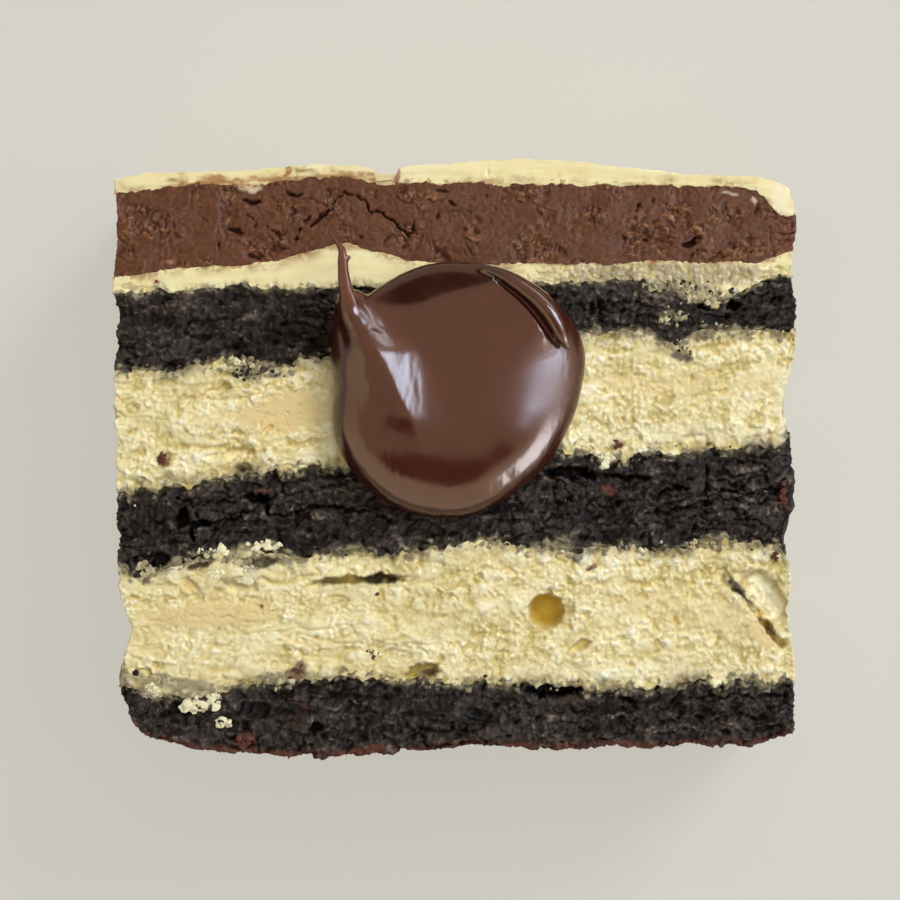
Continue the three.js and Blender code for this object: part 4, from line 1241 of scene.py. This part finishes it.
def grid_of_field(field, low, high, step, coarse=4):
    """The field on a grid, worked out at every point only near its surface."""
    counts = [int(round((end - start) / (step * coarse))) + 1 for start, end in zip(low, high)]
    axes = [start + step * coarse * np.arange(n) for start, n in zip(low, counts)]
    rough = field(np.stack([a.ravel() for a in np.meshgrid(*axes, indexing="ij")], 1)).reshape(counts)
    values = rough
    for axis in range(3):
        values = np.repeat(values, coarse, axis=axis)
    near = np.argwhere(np.abs(values) < DOLLOP_BAND)
    values[tuple(near.T)] = field(np.array(low) + step * near)
    return values


def surface_net(values, low, step):
    """Points and quads of the closed surface where a grid of values goes through zero."""
    cells = np.array(values.shape) - 1
    corner = {o: values[tuple(slice(k, k + n) for k, n in zip(o, cells))] for o in np.ndindex(2, 2, 2)}
    total = np.zeros((*cells, 3))
    crossings = np.zeros(cells)
    for start in corner:
        for axis in range(3):
            if start[axis]:
                continue
            end = tuple(1 if k == axis else n for k, n in enumerate(start))
            a, b = corner[start], corner[end]
            crossed = (a < 0) != (b < 0)
            share = np.where(crossed, a / np.where(crossed, a - b, 1), 0)
            crossings += crossed
            for k in range(3):
                total[..., k] += crossed * (share if k == axis else start[k])
    used = crossings > 0
    numbers = np.full(cells, -1)
    numbers[used] = np.arange(used.sum())
    points = np.array(low) + step * (np.argwhere(used) + total[used] / crossings[used][:, None])
    return points, np.concatenate([net_quads(values < 0, numbers, axis) for axis in range(3)]).tolist()


def net_quads(inside, numbers, axis):
    """The quads round the grid's edges along an axis that the surface crosses."""
    ahead = np.roll(inside, -1, axis)
    b, c = (axis + 1) % 3, (axis + 2) % 3
    core = [slice(1, -1)] * 3
    core[axis] = slice(0, -1)
    offset = np.array([1, 1, 1])
    offset[axis] = 0
    quads = []
    for leaves in (True, False):
        found = (inside & ~ahead) if leaves else (~inside & ahead)
        at = np.argwhere(found[tuple(core)]) + offset
        around = []
        for back_b, back_c in ((1, 1), (0, 1), (0, 0), (1, 0)):
            spot = at.copy()
            spot[:, b] -= back_b
            spot[:, c] -= back_c
            around.append(numbers[tuple(spot.T)])
        quads.append(np.stack(around if leaves else around[::-1], 1))
    return np.concatenate(quads)


def settled(points, field, times=3, step=0.02):
    """Points moved onto the exact surface of a field."""
    for _ in range(times):
        value = field(points)
        slopes = np.stack([(field(points + step * np.eye(3)[axis]) - value) / step for axis in range(3)], 1)
        points = points - slopes * (np.clip(value, -0.1, 0.1) / np.maximum((slopes**2).sum(1), 0.2))[:, None]
    return points


def dollop_piece(material):
    """The spoonful as one closed mesh, with shares for the painted shade in its hollow, the painted light on
    its thin tail and its dulled places.
    """
    low, high = DOLLOP_BOX
    values = grid_of_field(dollop_field, low, high, DOLLOP_STEP)
    points, faces = surface_net(values, low, DOLLOP_STEP)
    points = settled(points, dollop_field)
    x, y = points[:, :2].T
    shares = {
        # Painted shade: the colour darkens where the face rises to its lip on the topping's side.
        "hollow_shade": smoothstep(0.0, 0.25, hollow_rise(x, y)) * (x > TAIL_SIDE),
        # Painted light: the thin tail is painted lighter and redder than the rest.
        "thin": smoothstep(7.0, 11.0, y) * (x < TAIL_SIDE),
        "drawn": drawn_share(x, y),
    }
    points = points + np.array([*DOLLOP_PLACE, FACE_Z])
    nodes = ["chocolate_dollop"]
    return new_piece("dollop_gloss", points, faces, shares, material, nodes)


# Materials

def linear(red, green, blue):
    """A colour as it looks on screen, from 0 to 255, as the light that it stands for."""
    parts = [c / 255 for c in (red, green, blue)]
    return tuple(c / 12.92 if c <= 0.04045 else ((c + 0.055) / 1.055) ** 2.4 for c in parts) + (1.0,)


class NodeSteps:
    """Small steps that build a tree of shader nodes."""

    def __init__(self, tree, places):
        self.nodes = tree.nodes
        self.links = tree.links
        self.place = self.nodes.new("ShaderNodeTexCoord").outputs[places]

    def maths(self, operation, *values):
        """What an operation makes of sockets or plain numbers."""
        node = self.nodes.new("ShaderNodeMath")
        node.operation = operation
        for socket, value in zip(node.inputs, values):
            if isinstance(value, (int, float)):
                socket.default_value = value
            else:
                self.links.new(value, socket)
        return node.outputs[0]


class Look(NodeSteps):
    """One node material, built up from small steps."""

    def __init__(self, name):
        self.material = bpy.data.materials.new(name)
        self.material.use_nodes = True
        super().__init__(self.material.node_tree, "Object")
        self.shader = self.nodes["Principled BSDF"]

    def set(self, **values):
        for name, value in values.items():
            self.shader.inputs[name.replace("_", " ")].default_value = value

    def share(self, name):
        node = self.nodes.new("ShaderNodeAttribute")
        node.attribute_name = name
        return node.outputs["Fac"]

    def noise(self, size, detail=3.0, roughness=0.6):
        node = self.nodes.new("ShaderNodeTexNoise")
        node.inputs["Scale"].default_value = 1 / (size * MM)
        node.inputs["Detail"].default_value = detail
        node.inputs["Roughness"].default_value = roughness
        self.links.new(self.place, node.inputs["Vector"])
        return node.outputs["Fac"]

    def sum(self, first, second, share):
        """first + share * (second - 0.5)"""
        return self.maths("MULTIPLY_ADD", second, share, self.maths("SUBTRACT", first, share / 2))

    def ramp(self, value, stops):
        node = self.nodes.new("ShaderNodeValToRGB")
        elements = node.color_ramp.elements
        while len(elements) < len(stops):
            elements.new(0.5)
        for element, (place, colour) in zip(elements, stops):
            element.position = place
            element.color = linear(*colour)
        self.links.new(value, node.inputs["Fac"])
        return node.outputs["Color"]

    def mix(self, share, below, colour):
        node = self.nodes.new("ShaderNodeMix")
        node.data_type = "RGBA"
        self.links.new(share, node.inputs[0])
        self.links.new(below, node.inputs[6])
        node.inputs[7].default_value = linear(*colour)
        return node.outputs[2]

    def bump(self, height, strength, distance):
        node = self.nodes.new("ShaderNodeBump")
        node.inputs["Strength"].default_value = strength
        node.inputs["Distance"].default_value = distance * MM
        self.links.new(height, node.inputs["Height"])
        self.links.new(node.outputs["Normal"], self.shader.inputs["Normal"])

    def roughness(self, share, plain, full):
        """Makes the roughness go from plain to full with a share."""
        value = self.maths("MULTIPLY_ADD", share, full - plain, plain)
        self.links.new(value, self.shader.inputs["Roughness"])

    def colour(self, socket):
        self.links.new(socket, self.shader.inputs["Base Color"])


def food_look(name, tones_and_shades, stains, deep, fleck, fleck_share):
    """A look whose colour goes through a ramp of the crumb's own tone with painted light and shade, then
    stains, then the painted shade of its holes and cracks.
    """
    look = Look(name)
    value = look.sum(look.share("tone"), look.noise(fleck), fleck_share)
    colour = look.ramp(value, tones_and_shades)
    for key in STAIN_KEYS:
        colour = look.mix(look.share(key), colour, stains[key])
    # Painted shade: holes, cracks and gaps turn to the colour of their shade.
    look.colour(look.mix(look.share("deep"), colour, deep))
    return look


def vanilla_look():
    tones_and_shades = [
        (0.1, (200, 183, 122)), (0.35, (228, 213, 159)), (0.6, (244, 233, 188)), (0.8, (251, 245, 212)),
        (1.0, (255, 252, 232)),
    ]
    # The dark stain's colour is also the painted shade in the slit and in some holes.
    stains = {"tan": (228, 204, 146), "milk": (246, 240, 208), "soot": (70, 60, 50), "rust": (98, 60, 38)}
    look = food_look("vanilla_crumb", tones_and_shades, stains, (206, 176, 74), 0.45, 0.2)
    look.set(Roughness=0.8, Subsurface_Weight=0.08, Subsurface_Scale=0.0005, Specular_IOR_Level=0.15)
    look.bump(look.noise(0.22), 0.6, 0.1)
    return look.material


def dark_look():
    tones_and_shades = [
        (0.05, (9, 7, 6)), (0.35, (30, 25, 22)), (0.6, (46, 40, 36)), (0.85, (76, 68, 61)),
        (1.0, (112, 101, 90)),
    ]
    stains = {"tan": (62, 53, 46), "milk": (168, 156, 124), "soot": (10, 8, 7), "rust": (90, 52, 40)}
    look = food_look("chocolate_crumb", tones_and_shades, stains, (6, 5, 4), 0.35, 0.3)
    look.set(Roughness=0.65, Specular_IOR_Level=0.12)
    look.bump(look.noise(0.2), 0.7, 0.1)
    return look.material


def fudge_look():
    tones_and_shades = [(0.0, (50, 26, 13)), (0.4, (84, 50, 30)), (0.6, (98, 61, 39)), (1.0, (156, 110, 76))]
    stains = {"tan": (146, 96, 60), "milk": (210, 190, 158), "soot": (44, 26, 17), "rust": (108, 60, 40)}
    look = food_look("fudge", tones_and_shades, stains, (34, 16, 9), 0.4, 0.15)
    look.set(Roughness=0.55, Specular_IOR_Level=0.15)
    look.bump(look.noise(0.25), 0.5, 0.1)
    return look.material


def cream_look():
    tones_and_shades = [(0.1, (214, 196, 136)), (0.5, (239, 227, 172)), (0.9, (250, 242, 200))]
    stains = {"tan": (160, 112, 62), "milk": (250, 245, 218), "soot": (112, 98, 78), "rust": (142, 84, 48)}
    look = food_look("cream", tones_and_shades, stains, (196, 160, 96), 1.2, 0.3)
    look.set(Roughness=0.45, Subsurface_Weight=0.2, Subsurface_Scale=0.0008, Specular_IOR_Level=0.25)
    look.bump(look.noise(0.5), 0.15, 0.1)
    return look.material


def glossy_look():
    look = Look("glossy_chocolate")
    plain = look.ramp(look.noise(3.0), [(0.3, (68, 29, 19)), (0.7, (73, 32, 21))])
    # Painted shade: darker colour in the hollow.
    hollow_shade = look.mix(look.share("hollow_shade"), plain, (50, 17, 10))
    # Painted light: lighter, redder colour on the thin tail.
    look.colour(look.mix(look.share("thin"), hollow_shade, (92, 44, 31)))
    look.set(Specular_IOR_Level=0.5)
    look.roughness(look.share("drawn"), GLOSS_ROUGH, DULL_ROUGH)
    look.bump(look.noise(0.8, 2.0), 0.03, 0.1)
    return look.material


def floor_look():
    """A pale matt floor that glows a little, which keeps the slice's shadow on it faint."""
    look = Look("floor_paint")
    paler = tuple(c + 2 for c in FLOOR_COLOUR)
    look.colour(look.ramp(look.noise(40.0), [(0.3, FLOOR_COLOUR), (0.7, paler)]))
    look.set(Roughness=0.6, Specular_IOR_Level=0.1)
    look.set(Emission_Color=linear(*FLOOR_GLOW), Emission_Strength=1.0)
    return look.material


dollop_piece(glossy_look())
LOOKS = {"vanilla": vanilla_look(), "dark": dark_look(), "fudge": fudge_look(), "cream": cream_look()}
for number, row in enumerate(LAYERS):
    layer_piece(number, LOOKS[row["kind"]])
RANDOM = np.random.default_rng(CRUMB_SEED)
PLACES = crumb_places(RANDOM)
for crumb_kind, (crumb_look, crumb_slot) in CRUMB_LOOKS.items():
    crumb_piece(crumb_kind, PLACES[crumb_kind], LOOKS[crumb_look], RANDOM)


# The stage: floor, light and camera

def add_floor():
    half = FLOOR_HALF * MM
    mesh = bpy.data.meshes.new("floor")
    corners = [(-half, -half, 0), (half, -half, 0), (half, half, 0), (-half, half, 0)]
    mesh.from_pydata(corners, [], [(0, 1, 2, 3)])
    mesh.materials.append(floor_look())
    floor = bpy.data.objects.new("floor", mesh)
    bpy.context.scene.collection.objects.link(floor)


def add_light(name, place, width, height, radiance, colour, shows):
    """An area light that looks at the middle of the slice."""
    data = bpy.data.lights.new(name, "AREA")
    data.shape = "RECTANGLE"
    data.size, data.size_y = width, height
    data.energy = radiance * math.pi * width * height
    data.color = colour
    light = bpy.data.objects.new(name, data)
    light.location = place
    light.rotation_euler = (Vector(LIGHT_AIM) - Vector(place)).to_track_quat("-Z", "Y").to_euler()
    light.visible_diffuse = shows == "matt"
    light.visible_glossy = shows == "gloss"
    bpy.context.scene.collection.objects.link(light)


class RoomLight(NodeSteps):
    """The light of the room, built up from steps that depend on the direction."""

    def along(self, axis):
        """How far the direction goes along an axis."""
        node = self.nodes.new("ShaderNodeVectorMath")
        node.operation = "DOT_PRODUCT"
        node.inputs[1].default_value = axis
        self.links.new(self.place, node.inputs[0])
        return node.outputs["Value"]

    def step(self, value, start, end, low, high):
        """A smooth change from low at the start to high at the end."""
        node = self.nodes.new("ShaderNodeMapRange")
        node.interpolation_type = "SMOOTHSTEP"
        for name, number in (("From Min", start), ("From Max", end), ("To Min", low), ("To Max", high)):
            node.inputs[name].default_value = number
        self.links.new(value, node.inputs["Value"])
        return node.outputs["Result"]


def add_world():
    """The room: its light shows in gloss and lights nothing matt."""
    world = bpy.data.worlds.new("room")
    bpy.context.scene.world = world
    world.use_nodes = True
    world.cycles_visibility.diffuse = False
    room = RoomLight(world.node_tree, "Generated")
    tilt = math.radians(DARK_TILT)
    across, up = (math.sin(math.radians(half)) for half in DARK_HALF)
    sideways = room.along((1 / across, 0, 0))
    upwards = room.along((0, -math.cos(tilt) / up, -math.sin(tilt) / up))
    squares = [room.maths("MULTIPLY", value, value) for value in (sideways, upwards)]
    dark = room.step(room.maths("ADD", *squares), *DARK_EDGE, DARK_SHARE, 1.0)
    height = room.along((0, 0, 1))
    near_side = room.step(room.along((0, 1, 0)), *BAND_SIDE, BAND_BEHIND, 1.0)
    band = room.maths("MULTIPLY", room.step(height, *BAND_TOP, 0.0, BAND_LIGHT), near_side)
    light = room.maths("ADD", room.maths("MULTIPLY", dark, ROOM_LIGHT), band)
    background = world.node_tree.nodes["Background"]
    background.inputs["Color"].default_value = ROOM_COLOUR
    room.links.new(light, background.inputs["Strength"])


def add_camera():
    """A camera straight above the shown face."""
    data = bpy.data.cameras.new("camera")
    data.sensor_width = SENSOR
    data.lens = SENSOR * CAMERA_ABOVE / VIEW_SPAN
    data.clip_start = 0.01
    camera = bpy.data.objects.new("camera", data)
    camera.location = Vector((*VIEW_CENTRE, FACE_Z + CAMERA_ABOVE)) * MM
    bpy.context.scene.collection.objects.link(camera)
    bpy.context.scene.camera = camera


bpy.context.scene.view_settings.view_transform = "Standard"
add_floor()
add_world()
for light_name, light_row in LIGHTS.items():
    add_light(light_name, *light_row)
add_camera()
